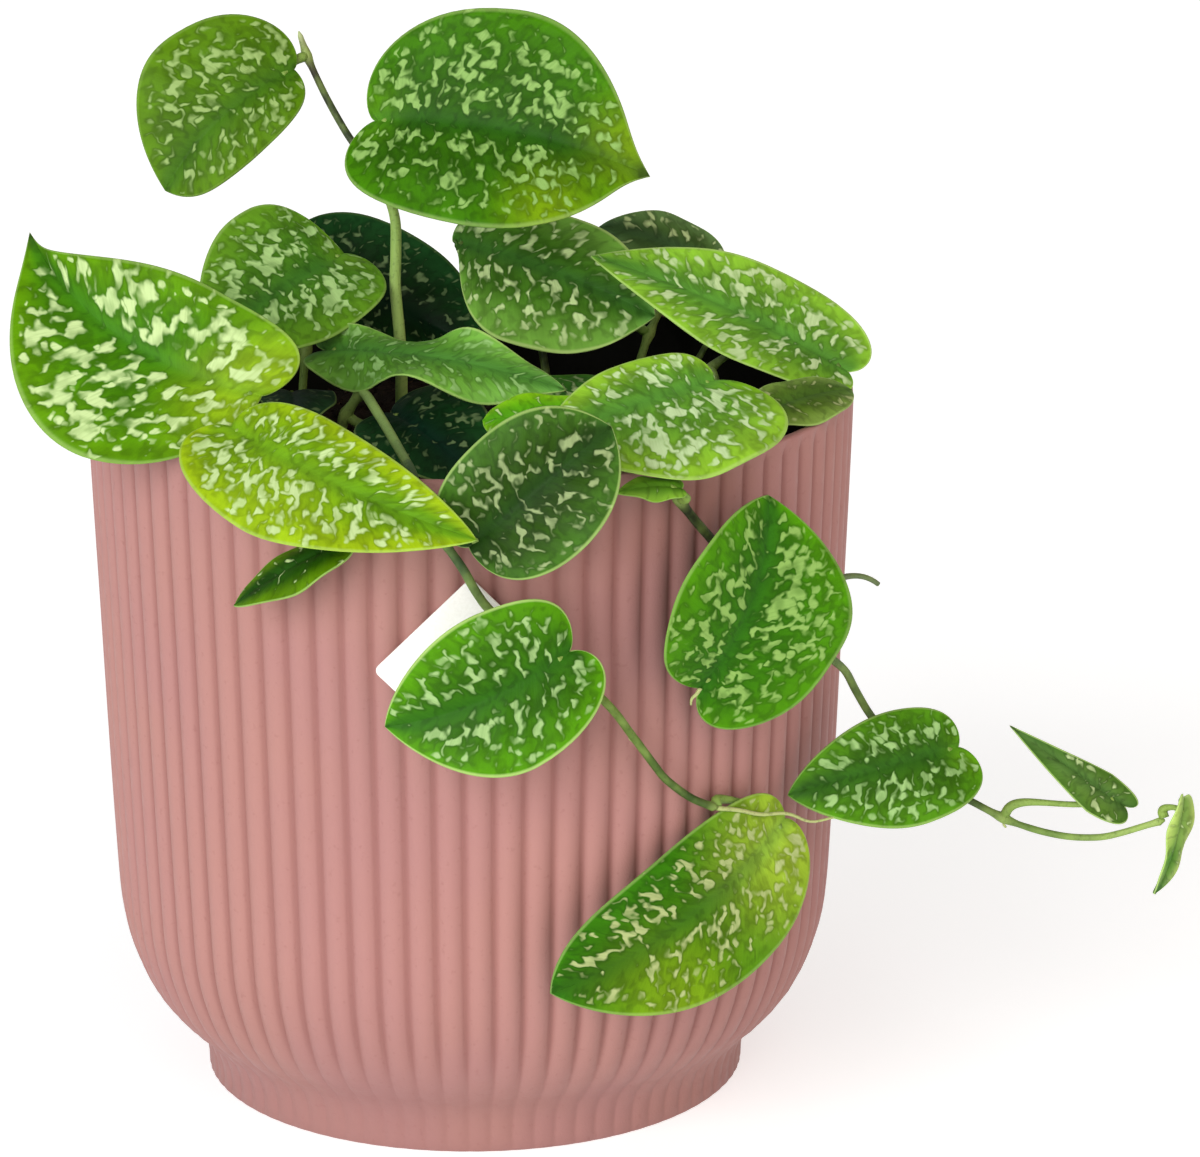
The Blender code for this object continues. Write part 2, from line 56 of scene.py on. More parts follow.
# Camera, at the photograph's distance and angle
CAMERA_PLACE = (0.0236, -0.950, 0.372)
CAMERA_PITCH = 16.35  # degrees down
CAMERA_LENS = 160.8  # on a sensor 36 mm wide
CAMERA_REACH = (0.05, 20.0)  # nearest and farthest that it sees

# Light. Each sun: strength, degrees across, where it shines from, colour
WHITE = (1.0, 1.0, 1.0, 1.0)
WORLD_STRENGTH = 0.36  # of the light all round
WORLD_RIGHT_TINT = (1.0, 0.66, 0.56, 1.0)
SUNS = {
    "key": (2.52, 46.0, (-0.62, -1.0, 0.42), (1.0, 0.985, 0.96)),
    "fill": (1.15, 70.0, (0.62, -1.0, 0.42), (1.0, 0.86, 0.74)),
}
FLOOR_HALF = 6.0  # metres
FLOOR_PALE = (0.70, 0.74, 0.76, 1.0)
FLOOR_SHADE = (0.693, 0.7326, 0.7524, 1.0)
FLOOR_GLOW = 0.58

# Pot: height and crest radius of each level of the outside, from the foot up to the lip
POT_LEVELS = (
    (0.0, 50.2), (5.0, 50.6), (9.0, 52.3), (14.0, 57.6), (20.0, 61.8),
    (30.0, 65.3), (42.0, 66.5), (95.0, 68.7), (128.0, 69.9), (131.0, 69.7),
)
INNER_LEVELS = ((3.0, 46.0), (10.0, 49.5), (28.0, 61.5), (131.0, 68.0))
# Lip: radius and height, from outside over the top to inside
POT_LIP = (
    (69.7, 130.6), (69.58, 130.85), (69.3, 131.0), (68.5, 131.0),
    (68.2, 130.85), (68.05, 130.5), (67.98, 129.6), (67.9, 128.0),
)
RIBS = 80
RIB_DEPTH = 1.2
RIB_STEPS = 10  # points round each rib
POT_STEP = 2.6  # height between rows of the outside
LIP_START = 130.4  # the ribs run out here
FOOT_RIBS = 0.35  # share of the ribs' depth that is left at the foot
FOOT_ROUND = 0.35  # rounding of the foot's lower edge
POT_LIGHT = (166, 121, 118)  # colours here and below are red, green and blue of 0 to 255
POT_WARM = (168, 123, 117)
# Painted shade for the grooves between the ribs, and also the colour of the dark specks
POT_GROOVE_SHADE_AND_SPECK = (118, 66, 60)
# Painted shade: near-black for the pot's inner wall and the inside of its lip
POT_INSIDE_SHADE = (14, 14, 9)
# Painted shade: the pot's colour is darkened by this factor at the floor, fading out by the height below
FOOT_PAINTED_SHADE = 0.79  # brightness at the floor
FOOT_PAINTED_SHADE_TOP = 0.045  # metres above the floor, where the shade ends

# Soil
SOIL_TOP = 115.0
SOIL_LUMP = 1.3
SOIL_DIP = 2.0  # fall of the soil next to the wall
SOIL_SLOPE = 5.0  # and how far from the wall it begins
SOIL_GAP = 0.3
SOIL_RINGS = 70
SOIL_STEPS = 150
CRUMBS = 1500
FIBRES = 260
FIBRE_STEPS = 6
FIBRE_RADIUS = 0.14
SOIL_DARK = (28, 21, 15)
SOIL_WARM = (50, 37, 26)
SOIL_PORE = (24, 17, 12)
FIBRE_PALE = (96, 72, 46)
FIBRE_DARK = (58, 40, 26)

# Card on the pot's front, a square standing on one corner
CARD_SIDE = 24.0
CARD_THICKNESS = 0.5
CARD_CENTRE = (1.5, 97.0)  # x and z
CARD_CORNER = 1.2
CARD_EDGE = ((0.25, 0.0), (0.06, 0.03), (0.0, 0.14))  # rounding: inset, and depth below the face
CARD_GAP = 0.3
CARD_WHITE = (252, 252, 251)
CARD_GREY = (244, 244, 242)

# Stems
STEM_STEP = 4.8  # spacing of the frame's points along a stem
FINE_PARTS = 5  # finer points between them
STEM_SIDES = 14
NODE_SWELL = 0.35  # swelling where a leaf grows
SWELL_REACH = 1.5
NECK_DEPTH = 0.06  # slight narrowing just past it
NECK_PLACE = 3.4
NECK_REACH = 1.3
TIP_ROUND = 1.6
STOUT_STEM = "stem_1"  # thicker than the frame's below its upper leaves
STOUT_BY = 0.25
STEM_FRECKLE = (46, 60, 26)
STEM_PATCH = (156, 186, 96)
STEM_JOINT = (168, 196, 104)

# Blades. The splashes, dots and streaks are sized along the side vein and along the midrib.
BLADE_ROWS = 60
BLADE_COLUMNS = 16
BLADE_HALF = 0.36  # half the blade's thickness at the midrib
MARGIN_HALF = 0.16  # and at the margin
WIDEST = 0.45  # share of the rows whose margin ends before the widest place
DRIP_START = 0.86  # share of the rows that a drawn-out tip leaves in place
GROOVE_DEPTH = 0.28  # of the midrib on the upper side
GROOVE_REACH = 0.55
KEEL_RISE = 0.45  # of the midrib on the underside
KEEL_REACH = 0.8
MIDRIB_REACH = 2.3  # of the deeper green along it
QUILT_PITCH = 4.2
QUILT_RISE = 0.10
UNEVEN_RISE = 0.22
SPLASH_WIDTH = 0.82  # in splash lengths
SPLASH_BEND = 2.6
DOTS_PER_MM = (0.46, 0.52, 1.0)
STREAKS_PER_MM = (0.22, 2.1, 1.0)
MARGIN_LINE = (176, 208, 122)
UNDERSIDE = (118, 150, 92)

# Leaf stalks
PETIOLE_SIDES = 10
PETIOLE_STEPS = 26
PETIOLE_FOOT = 0.95
PETIOLE_NECK = 0.55
PETIOLE_DEPTH = 2.2  # how far past the notch the stalk runs in
STALK_CLEARANCE = 0.42  # between the swollen stem and the stalk's first bend
STALK_FOOT_REACH = 0.4  # from the stem's middle to the stalk's foot
BARE_STALK = (104, 122, 84)

# Each stem: radius at its foot and at its tip, then the points it passes through.
# The first two points stand upright in the stem's hole in the soil.
STEMS = {
    "stem_1": (1.0, 0.6, [
        (-13, 6, 98.5), (-13, 6, 118), (-13, 7, 134), (-14, 9.5, 147), (-14, 13, 158),
        (-17, 16, 165), (-22.5, 20, 172), (-27, 24, 179), (-30.5, 27, 186), (-32, 27.5, 190.5)]),
    "stem_2": (1.0, 0.7, [
        (-24, -8, 98.5), (-24, -8, 118), (-22.5, -9.5, 127), (-19.5, -13, 132), (-16, -30, 133),
        (-9.6, -65, 133.3), (-8.4, -69.4, 132.4), (-6.6, -72.3, 128), (-3.4, -73, 122), (0.3, -73, 116.3),
        (4.4, -73, 109.5), (12.5, -73.5, 103), (24, -71, 92.5), (28.6, -67.3, 85.5), (35.2, -62.4, 75),
        (39.6, -59, 70.5), (44.2, -56, 67.6)]),
    "stem_3": (1.0, 0.6, [
        (20, -34, 98.5), (20, -34, 118), (22, -38, 126), (28, -51, 132.4), (33.5, -60, 133.5),
        (37.2, -62.8, 126), (42.6, -59, 118), (51.5, -51, 105.5), (57, -45.2, 98.8),
        (62.5, -38.5, 91.5), (67.7, -31, 85), (72.5, -27, 75.5), (83.5, -26, 63.5),
        (91.5, -26, 58.5), (97, -26, 55.5), (105, -27, 53), (114.5, -28, 52.5), (126, -30, 56.5)]),
    "stem_4": (1.0, 0.7, [
        (-46, -22, 98.5), (-46, -22, 118), (-43, -30, 128), (-38, -44, 133), (-33, -56, 134.6),
        (-29.5, -63, 133), (-27.5, -67.5, 127.6)]),
    "stem_5": (0.9, 0.7, [
        (-32, 16, 98.5), (-32, 16, 118), (-31, 18, 132), (-28, 20, 142)]),
    "stem_6": (0.9, 0.7, [
        (14, 30, 98.5), (14, 30, 118), (12, 33, 132), (8, 37, 142), (4, 38, 148)]),
    "stem_7": (0.9, 0.7, [
        (40, 18, 98.5), (40, 18, 118), (44, 20, 128), (53, 20, 133), (61, 12, 133)]),
    "stem_8": (0.9, 0.6, [
        (-8, 44, 98.5), (-8, 44, 118), (-9, 54, 128), (-10, 65, 133.4), (-10.5, 70, 132.6), (-12, 72.8, 127),
        (-14, 72.5, 114), (-12, 72.5, 98), (-3, 73, 84), (8, 73, 74)]),
    "stem_9": (0.9, 0.6, [
        (30, 40, 98.5), (30, 40, 118), (33, 48, 128), (37, 55.5, 133.5), (40, 58.5, 132.8),
        (42, 60.5, 125), (43, 60, 112), (40, 61, 98)]),
}


def leaf_of(stem, joint, base, tip, face, widths, **more):
    return dict(stem=stem, joint=joint, base=base, tip=tip, face=face, widths=widths, **more)


# Each leaf: the stem and the point of it that the leaf grows from, the notch and the tip of
# the blade, the way the upper face looks, and the width left and right of the midrib.
# The rest, where given, changes the shape set in PLAIN_BLADE, or the stalk: rise is how far it
# first runs square to its stem, and arrive is the way it comes in under the blade.
LEAVES = {
    "leaf_01": leaf_of("stem_1", 8, (-32.8, 23, 184.2), (-56.3, 16, 163), (-0.25, -1, 0.35), (10, 17.8),
        sweep=-2, wide=0.34, full=(1.0, 0.75), lobes=(0.0, 0.14)),
    "leaf_02": leaf_of("stem_1", 5, (-17.2, 7.5, 177.7), (30.2, -3.5, 170.8), (0.1, -1, 0.55), (22.5, 20),
        sweep=2, wide=0.42, full=(0.5, 0.5), lobes=(0.09, 0.11), drip=0.05),
    "leaf_03": leaf_of("stem_4", 3, (-35.5, -43.4, 139.3), (-76.5, -22, 161.8), (-0.25, -1, 0.75),
        (22.5, 16), sweep=6, wide=0.34, full=(0.6, 0.0), lobes=(0.02, 0.08), drip=0.04),
    "leaf_04": leaf_of("stem_4", 4, (-40, -56, 137), (3, -89, 126), (0, -1, 0.8), (10, 15.5), sweep=-2.5,
        wide=0.3, full=(0.35, 0.35), lobes=(0.0, 0.15)),
    "leaf_05": leaf_of("stem_5", 3, (-23.5, 12, 152), (-47, -9, 140), (-0.2, -1, 0.6), (14.5, 16.8),
        wide=0.26, full=(0.9, 0.6), lobes=(0.1, 0.0)),
    "leaf_06": leaf_of("stem_5", 2, (-34, 34, 145.5), (1.5, 20, 131), (0.1, -1, 0.7), (14.2, 13),
        full=(0.7, 0.42)),
    "leaf_07": leaf_of("stem_6", 4, (-3.7, 25, 151.3), (33.7, 7, 141.3), (0.1, -1, 0.8), (12, 18),
        wide=0.46, full=(0.5, 0.7), lobes=(0.04, -0.12)),
    "leaf_08": leaf_of("stem_7", 4, (68.3, -7.8, 134.8), (22, 5, 153), (0.2, -0.8, 1.0), (10.6, 12.6),
        full=(0.25, 0.25), lobes=(0.07, 0.08)),
    "leaf_09": leaf_of("stem_9", 1, (45.7, 44, 141.7), (23.5, 40, 150.7), (0.1, -0.8, 0.8), (8, 7)),
    "leaf_10": leaf_of("stem_2", 3, (-26, -5, 138), (17.5, -29, 136.5), (0, -0.8, 1), (6, 8.5), arch=3,
        wide=0.4, full=(0.5, 0.5), wave=4.0, phase=0.25),
    "leaf_11": leaf_of("stem_3", 3, (43.6, -44, 142.2), (14.5, -66, 137.5), (0.1, -0.9, 0.9), (19.5, 8.5),
        lobes=(0.27, 0.02), wide=0.3, full=(0.6, 0.6), arch=1),
    "leaf_12": leaf_of("stem_2", 8, (1.5, -80.5, 122.5), (25.5, -79, 143), (0, -1, 0.35), (12.6, 13),
        wide=0.37, full=(0.85, 0.75), lobes=(0.1, 0.02)),
    "leaf_13": leaf_of("stem_4", 6, (-20, -71, 120.5), (-39.2, -67, 108), (-0.3, -0.6, 1), (6, 5),
        arch=1),
    "leaf_14": leaf_of("stem_2", 11, (18.3, -79, 103.4), (-13, -80, 90.5), (0, -1, 0.25), (14.3, 14),
        sweep=2, wide=0.34, lobes=(0.17, 0.09)),
    "leaf_15": leaf_of("stem_2", 16, (56.5, -47, 62.5), (15, -76, 40.5), (0.35, -1, 0.2), (15, 12.8),
        sweep=3.5, wide=0.36, full=(0.55, 0.8), lobes=(0.05, 0.02), rise=0.12),
    "leaf_16": leaf_of("stem_3", 7, (41, -63, 92), (52.6, -57, 125), (0.6, -0.8, 0.2), (17, 20.5),
        sweep=-2.6, wide=0.36, full=(0.6, 0.6), lobes=(0.01, 0.22)),
    "leaf_17": leaf_of("stem_3", 12, (88, -32, 71), (57.2, -42, 65.3), (0.2, -1, 0.5), (12, 9.5),
        lobes=(0.13, 0.045), wide=0.3),
    "leaf_18": leaf_of("stem_3", 14, (118.6, -28, 58.6), (98, -24, 72.5), (-0.55, -0.65, 0.5), (5.2, 4),
        fold=30, arch=1, wide=0.2, full=(0.1, 0.1), shoulder=0.75, arrive=(0.93, 0, 0.4), rise=0.22),
    "leaf_19": leaf_of("stem_3", 17, (129, -31, 60.5), (124, -34, 43.8), (0.75, -0.5, 0.2), (4, 3.2),
        fold=28, arch=1),
    "leaf_20": leaf_of("stem_5", 1, (-33, 2, 128), (-31, -24, 127), (0.1, -0.4, 1), (8, 7)),
    "leaf_21": leaf_of("stem_2", 2, (-14, -16, 129), (3, -37, 120.5), (0.2, -1, 0.9), (12, 11)),
    "leaf_22": leaf_of("stem_3", 2, (20, -50, 137), (3.2, -44, 134.8), (-0.1, -0.8, 1), (5.2, 5.2),
        full=(0.9, 0.9), arch=1),
    "leaf_23": leaf_of("stem_7", 2, (53, -33, 134), (68.6, -19, 134), (0.1, -0.6, 1), (5.5, 6.5),
        full=(0.6, 0.6), arch=1),
    "leaf_24": leaf_of("stem_3", 5, (37.4, -67, 129), (26.5, -71.8, 129.4), (0.2, -0.7, 1), (2.2, 3.0),
        arch=1),
    "leaf_25": leaf_of("stem_8", 5, (-24, 74, 124), (-54, 66, 112), (-0.3, 0.8, 0.5), (14, 15)),
    "leaf_26": leaf_of("stem_8", 7, (-20, 79, 96), (-32, 78, 64), (-0.35, 1, 0.15), (14, 13)),
    "leaf_27": leaf_of("stem_8", 9, (13, 77, 70), (14, 80, 37), (0.15, 1, 0.2), (15, 14)),
    "leaf_28": leaf_of("stem_8", 3, (2, 74, 132), (18, 92, 110), (0.2, 0.8, 0.9), (15, 15)),
    "leaf_29": leaf_of("stem_9", 7, (40, 69, 92), (45, 67, 60), (0.4, 1, 0.2), (13, 14)),
    "leaf_30": leaf_of("stem_9", 5, (52, 61, 122), (62, 58, 96), (0.8, 0.7, 0.4), (14, 13)),
    "leaf_31": leaf_of("stem_8", 2, (-17, 50, 137), (-46, 56, 135), (-0.2, 0.3, 1), (14, 14)),
    "leaf_32": leaf_of("stem_9", 2, (25, 50, 136), (2, 60, 133), (0.0, 0.5, 1), (12, 13)),
    "leaf_33": leaf_of("stem_9", 3, (54, 44, 133.5), (69, 26, 135), (0.5, 0.3, 1), (11, 10)),
    "leaf_34": leaf_of("stem_5", 1, (-40, 24, 131), (-60, 4, 134), (-0.4, 0.1, 1), (11, 11)),
    "leaf_35": leaf_of("stem_7", 1, (29, 10, 123), (3, 1, 121), (0.1, -0.2, 1), (11, 12)),
    "leaf_36": leaf_of("stem_3", 1, (31, -26, 122), (53, -13, 120), (0.0, -0.3, 1), (9, 9)),
    "leaf_37": leaf_of("stem_7", 1, (50, 25, 122), (56, 3, 121), (0.1, -0.2, 1), (7, 8)),
}

PLAIN_BLADE = dict(
    lobes=(0.1, 0.1),  # how far each lobe runs back past the notch, in blade lengths
    wide=0.32,  # where along the midrib the blade is widest
    full=(0.42, 0.42),  # how full each side's outline stays toward the tip
    sweep=0.0,  # sideways bend of the midrib
    arch=2.5,  # rise of the midrib between notch and tip
    fold=12.0,  # degrees that each half lifts
    droop=1.5,  # fall of the margins
    wave=0.5,  # ripple of the margins
    phase=0.0,  # where along the blade the ripple starts
    shoulder=1.06,  # how long the sides stay wide
    drip=0.0,  # how far the tip is drawn out, in blade lengths
)

# A leaf stalk without its leaf: its stem, the point of it, and where the stalk bends and ends
BARE_PETIOLE = dict(stem="stem_3", joint=8, bend=(67.4, -36, 107.6), end=(73.2, -34, 102.2))

# Colours that several leaves share
BRIGHT = (66, 142, 14)
MID = (52, 122, 22)
# Painted shade: DARK, INNER, SHADED and SHADED_PALE are darkened greens, stalk colour and silver for leaves
# and stalks that sit in shade
DARK = (22, 64, 26)
INNER = (16, 46, 20)
SHADED = (14, 22, 8)
SHADED_PALE = (104, 128, 84)
SILVER = (190, 216, 152)
STEM_PALE = (140, 170, 84)


def look_of(mid, edge, silver, splash, **more):
    return dict(mid=mid, edge=edge, silver=silver, splash=splash, **more)


# Colours and markings of each leaf: middle and margin greens, how much of the blade is silver,
# and how long the splashes are. The rest, where given: pale is the silver's colour, stroke how
# far the splashes lean along the side veins (0 to 1), rim the strength of the pale margin line,
# stalk the stalk's colour, and flush holds flushes of another green, each with its side (0 left,
# 1 right), place t and w on the blade, reach in blade lengths and colour.
PLAIN_LOOK = look_of(MID, BRIGHT, 0.45, 2.6, pale=SILVER, stroke=0.4, flush=(), rim=0.3, stalk=STEM_PALE)
LOOKS = {
    "leaf_01": look_of((65, 105, 8), (75, 115, 8), 0.5, 2.2, pale=(145, 175, 105), stroke=0.5, rim=0.15),
    "leaf_02": look_of((40, 85, 2), (55, 110, 2), 0.52, 2.3, pale=(135, 175, 95), stroke=0.15,
        flush=((1, 0.7, 0.95, 0.3, (104, 138, 8)), (0, 0.95, 0.9, 0.3, (104, 138, 8)),
        (0, 0.06, 0.9, 0.2, (74, 126, 6)), (0, 1.0, 0.0, 0.09, (40, 52, 16)))),
    "leaf_03": look_of((60, 115, 2), (80, 130, 2), 0.62, 2.9, stroke=0.6,
        flush=((0, 0.05, 0.9, 0.4, (132, 168, 20)), (1, 0.08, 0.9, 0.3, (132, 168, 20)),
        (0, 1.0, 0.0, 0.07, (60, 90, 20)))),
    "leaf_04": look_of((95, 140, 8), (135, 165, 15), 0.62, 2.4, stroke=0.5,
        flush=((1, 0.5, 0.9, 0.4, (140, 176, 24)), (0, 0.2, 0.9, 0.3, (118, 156, 12)))),
    "leaf_05": look_of((65, 115, 25), (90, 140, 30), 0.58, 2.0, pale=(170, 210, 135), stroke=0.5,
        flush=((0, 0.04, 0.3, 0.22, (104, 150, 22)),)),
    # Painted shade: this leaf's greens and silver are darkened for the shade it sits in
    "leaf_06": look_of((10, 40, 8), DARK, 0.3, 1.8, pale=SHADED_PALE, rim=0.075),
    # Painted shade: the near-black stalks of leaf_07 to leaf_09 stand for the shade they sit in
    "leaf_07": look_of((60, 105, 25), (105, 155, 60), 0.4, 2.6, rim=0.75, stalk=SHADED),
    "leaf_08": look_of((85, 135, 35), (120, 170, 45), 0.58, 2.1, pale=(180, 205, 150), stroke=0.5,
        rim=0.6, stalk=SHADED),
    # Painted shade: this leaf's greens are darkened for the shade it sits in
    "leaf_09": look_of((65, 95, 40), (90, 125, 70), 0.42, 2.4, rim=0.22, stalk=SHADED),
    "leaf_10": look_of((75, 125, 35), (105, 160, 60), 0.4, 1.8, pale=(140, 185, 110), rim=0.52),
    "leaf_11": look_of((90, 145, 40), (130, 180, 45), 0.64, 2.4, pale=(195, 225, 170), stroke=0.5,
        rim=0.45, flush=((0, 0.1, 0.95, 0.25, (104, 158, 20)),)),
    # Painted shade: this leaf's greens and silver are darkened for the shade it sits in
    "leaf_12": look_of((35, 65, 6), (55, 95, 25), 0.46, 2.0, pale=(140, 160, 110), stroke=0.3, rim=0.52),
    "leaf_13": look_of((35, 75, 2), (80, 120, 4), 0.1, 1.8, rim=0.45),
    "leaf_14": look_of((45, 95, 4), (70, 130, 4), 0.52, 2.2, pale=(150, 185, 120), rim=0.68),
    "leaf_15": look_of((45, 95, 2), (45, 105, 4), 0.44, 2.1, pale=(170, 185, 125),
        flush=((0, 0.1, 1.0, 0.55, (150, 180, 50)), (0, 0.65, 1.0, 0.4, (110, 146, 18)))),
    "leaf_16": look_of((45, 100, 2), (65, 125, 2), 0.54, 2.2, pale=(135, 175, 90), stroke=0.5),
    "leaf_17": look_of((50, 95, 12), (70, 125, 15), 0.58, 2.0, pale=(150, 190, 120), rim=0.38,
        flush=((0, 0.06, 0.9, 0.2, (92, 146, 14)),)),
    "leaf_18": look_of((75, 105, 35), (60, 95, 25), 0.3, 1.4, pale=(165, 185, 130), rim=0.6),
    "leaf_19": look_of((125, 155, 60), (165, 190, 95), 0.05, 1.6, rim=0.68,
        flush=((0, 1.0, 0.0, 0.35, (34, 96, 14)), (1, 0.7, 0.6, 0.3, (60, 120, 20)))),
    # Painted shade: these inner leaves' greens and silver are darkened for the shade they sit in
    "leaf_20": look_of(INNER, DARK, 0.25, 1.8, pale=SHADED_PALE),
    "leaf_21": look_of(INNER, DARK, 0.25, 1.8, pale=SHADED_PALE),
    "leaf_22": look_of((90, 160, 8), (120, 180, 15), 0.1, 1.8),
    "leaf_23": look_of((75, 105, 25), (110, 140, 60), 0.25, 1.8, pale=(165, 180, 120), rim=0.4),
    "leaf_24": look_of((85, 130, 20), (120, 165, 40), 0.1, 1.8),
}


def linear(colour):
    """A 0 to 255 colour as the opaque linear colour that shaders take."""
    shares = [channel / 255 for channel in colour]
    return (*(s / 12.92 if s <= 0.04045 else ((s + 0.055) / 1.055) ** 2.4 for s in shares), 1.0)


def mix(first, second, share):
    return tuple(a + (b - a) * share for a, b in zip(first, second))


def ramp(value, low, high):
    """0 below low, 1 above high, smooth between."""
    share = min(1.0, max(0.0, (value - low) / (high - low)))
    return share * share * (3 - 2 * share)


def hump(distance, reach):
    """1 at no distance, falling off smoothly to both sides."""
    return math.exp(-((distance / reach) ** 2))


def between(table, height):
    """Straight-line reading of a table of (height, value) pairs."""
    for (low, first), (high, second) in zip(table, table[1:]):
        if height <= high:
            return first + (second - first) * (height - low) / (high - low)
    return table[-1][1]


def smooth_between(table, height):
    """Reading of the table on a smooth curve through its points."""
    spots = [table[0], *table, table[-1]]
    for i in range(1, len(spots) - 2):
        (h0, a), (h1, b), (h2, c), (h3, d) = spots[i - 1 : i + 3]
        if height <= h2:
            span = h2 - h1
            t = (height - h1) / span
            rise = (c - a) / (h2 - h0) * span
            fall = (d - b) / (h3 - h1) * span
            return (
                b * (2 * t**3 - 3 * t**2 + 1)
                + rise * (t**3 - 2 * t**2 + t)
                + c * (3 * t**2 - 2 * t**3)
                + fall * (t**3 - t**2)
            )
    return table[-1][1]


def circle(radius, height, count):
    turns = [math.tau * i / count for i in range(count)]
    return [(radius * math.cos(turn), radius * math.sin(turn), height) for turn in turns]


class Shell:
    """Vertices, faces and per-vertex values of a piece that is being built."""

    def __init__(self):
        self.points = []
        self.faces = []
        self.kinds = []
        self.values = {}

    def add(self, point, **values):
        self.points.append(point * MM)
        for name, value in values.items():
            self.values.setdefault(name, {})[len(self.points) - 1] = value
        return len(self.points) - 1

    def face(self, *corners, kind=0):
        self.faces.append(corners)
        self.kinds.append(kind)

    def ring(self, centre, across, over, radius, sides, **values):
        turns = [math.tau * k / sides for k in range(sides)]
        ways = [across * math.cos(turn) + over * math.sin(turn) for turn in turns]
        return [self.add(centre + way * radius, **values) for way in ways]

    def level_ring(self, radius, height, count, **values):
        """A ring round the pot's own axis."""
        return [self.add(Vector(spot), **values) for spot in circle(radius, height, count)]

    def skin(self, rings, kind=0):
        """Outward faces from ring to ring, with both ends closed."""
        self.face(*reversed(rings[0]), kind=kind)
        for lower, upper in zip(rings, rings[1:]):
            for i in range(len(lower)):
                k = (i + 1) % len(lower)
                self.face(lower[i], lower[k], upper[k], upper[i], kind=kind)
        self.face(*rings[-1], kind=kind)

    def finish(self, node, slot, *materials):
        """Makes the piece, which stands for one node of the frame."""
        name = node + "_fine"
        mesh = bpy.data.meshes.new(name)
        mesh.from_pydata(self.points, [], self.faces)
        mesh.polygons.foreach_set("material_index", self.kinds)
        for label, values in self.values.items():
            rows = {i: value if isinstance(value, tuple) else (value,) for i, value in values.items()}
            width = len(next(iter(rows.values())))
            kind, field = VALUE_KINDS[width]
            flat = [x for i in range(len(self.points)) for x in rows.get(i, (0.0,) * width)]
            mesh.attributes.new(label, kind, "POINT").data.foreach_set(field, flat)
        mesh.shade_smooth()
        mesh.update()
        obj = bpy.data.objects.new(name, mesh)
        bpy.context.scene.collection.objects.link(obj)
        for made_of in materials:
            mesh.materials.append(made_of)
        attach(obj, "root")
        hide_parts(node)


# Materials


class Tree:
    """A tree of shader nodes, with short calls for the nodes used here."""

    def __init__(self, tree):
        self.nodes = tree.nodes
        self.links = tree.links

    def put(self, value, socket):
        if isinstance(value, bpy.types.NodeSocket):
            self.links.new(value, socket)
        else:
            socket.default_value = value

    def node(self, kind, output=0, inputs=(), **settings):
        made = self.nodes.new(kind)
        for label, value in settings.items():
            setattr(made, label, value)
        for key, value in dict(inputs).items():
            self.put(value, made.inputs[key])
        return made.outputs[output]

    def attribute(self, name, output="Fac"):
        return self.node("ShaderNodeAttribute", output, attribute_name=name)

    def math(self, operation, *values):
        return self.node("ShaderNodeMath", 0, dict(enumerate(values)), operation=operation)

    def plus(self, first, second):
        return self.math("ADD", first, second)

    def times(self, first, second):
        return self.math("MULTIPLY", first, second)

    def scaled(self, value, factor, offset):
        return self.math("MULTIPLY_ADD", value, factor, offset)

    def vector(self, operation, first, second):
        return self.node("ShaderNodeVectorMath", 0, {0: first, 1: second}, operation=operation)

    def axis(self, vector, number):
        return self.node("ShaderNodeSeparateXYZ", number, {0: vector})

    def blend(self, share, first, second, how="MIX"):
        inputs = {0: share, 6: first, 7: second}
        return self.node("ShaderNodeMix", 2, inputs, data_type="RGBA", blend_type=how)

    def step(self, value, low, high, start=0.0, end=1.0):
        """start below low, end above high, smooth between."""
        inputs = {0: value, 1: low, 2: high, 3: start, 4: end}
        return self.node("ShaderNodeMapRange", 0, inputs, interpolation_type="SMOOTHSTEP")

    def noise(self, place, scale, detail=2.0, roughness=0.5, distortion=0.0, output="Fac"):
        inputs = dict(Vector=place, Scale=scale, Detail=detail, Roughness=roughness, Distortion=distortion)
        return self.node("ShaderNodeTexNoise", output, inputs)

    def cells(self, place, output="Distance"):
        return self.node("ShaderNodeTexVoronoi", output, dict(Vector=place, Scale=1.0))

    def object_place(self):
        """Place on the piece, in metres of the frame."""
        return self.node("ShaderNodeTexCoord", "Object")


class Shader(Tree):
    """The node tree of a material."""

    def __init__(self, name, roughness, specular):
        self.material = bpy.data.materials.new(name)
        self.material.use_nodes = True
        super().__init__(self.material.node_tree)
        self.surface = self.nodes["Principled BSDF"]
        self.set(Roughness=roughness, Specular_IOR_Level=specular)

    def set(self, **values):
        for label, value in values.items():
            self.put(value, self.surface.inputs[label.replace("_", " ")])

    def bump(self, height, strength, distance):
        inputs = dict(Strength=strength, Distance=distance, Height=height)
        self.set(Normal=self.node("ShaderNodeBump", 0, inputs))


def leaf_splashes(s, sheet, bent, silver):
    """Clumps of curly, soft-edged splashes."""
    length = s.attribute("splash")
    long_way = s.math("DIVIDE", s.axis(bent, 0), length)
    short_way = s.math("DIVIDE", s.axis(bent, 1), s.times(length, SPLASH_WIDTH))
    spot = s.node("ShaderNodeCombineXYZ", 0, {0: long_way, 1: short_way, 2: s.axis(bent, 2)})
    level = s.plus(s.scaled(silver, 0.36, -0.21), s.scaled(s.noise(sheet, 0.15, 1.0), 0.3, -0.15))
    return s.plus(s.noise(spot, 1.15, 0.5, 0.35, 0.25), level)


def leaf_dots(s, bent, silver, rim):
    """Round dots between the splashes, mostly toward the margin."""
    spot = s.vector("MULTIPLY", bent, DOTS_PER_MM)
    chosen = s.plus(s.axis(s.cells(spot, "Color"), 0), s.step(rim, 0.45, 0.8, 0.0, 0.3))
    reach = s.step(s.scaled(silver, 0.6, chosen), 0.75, 1.3, 0.0, 0.46)
    dots = s.step(s.math("SUBTRACT", reach, s.cells(spot)), 0.0, 0.24)
    return s.times(dots, s.step(silver, 0.06, 0.2))


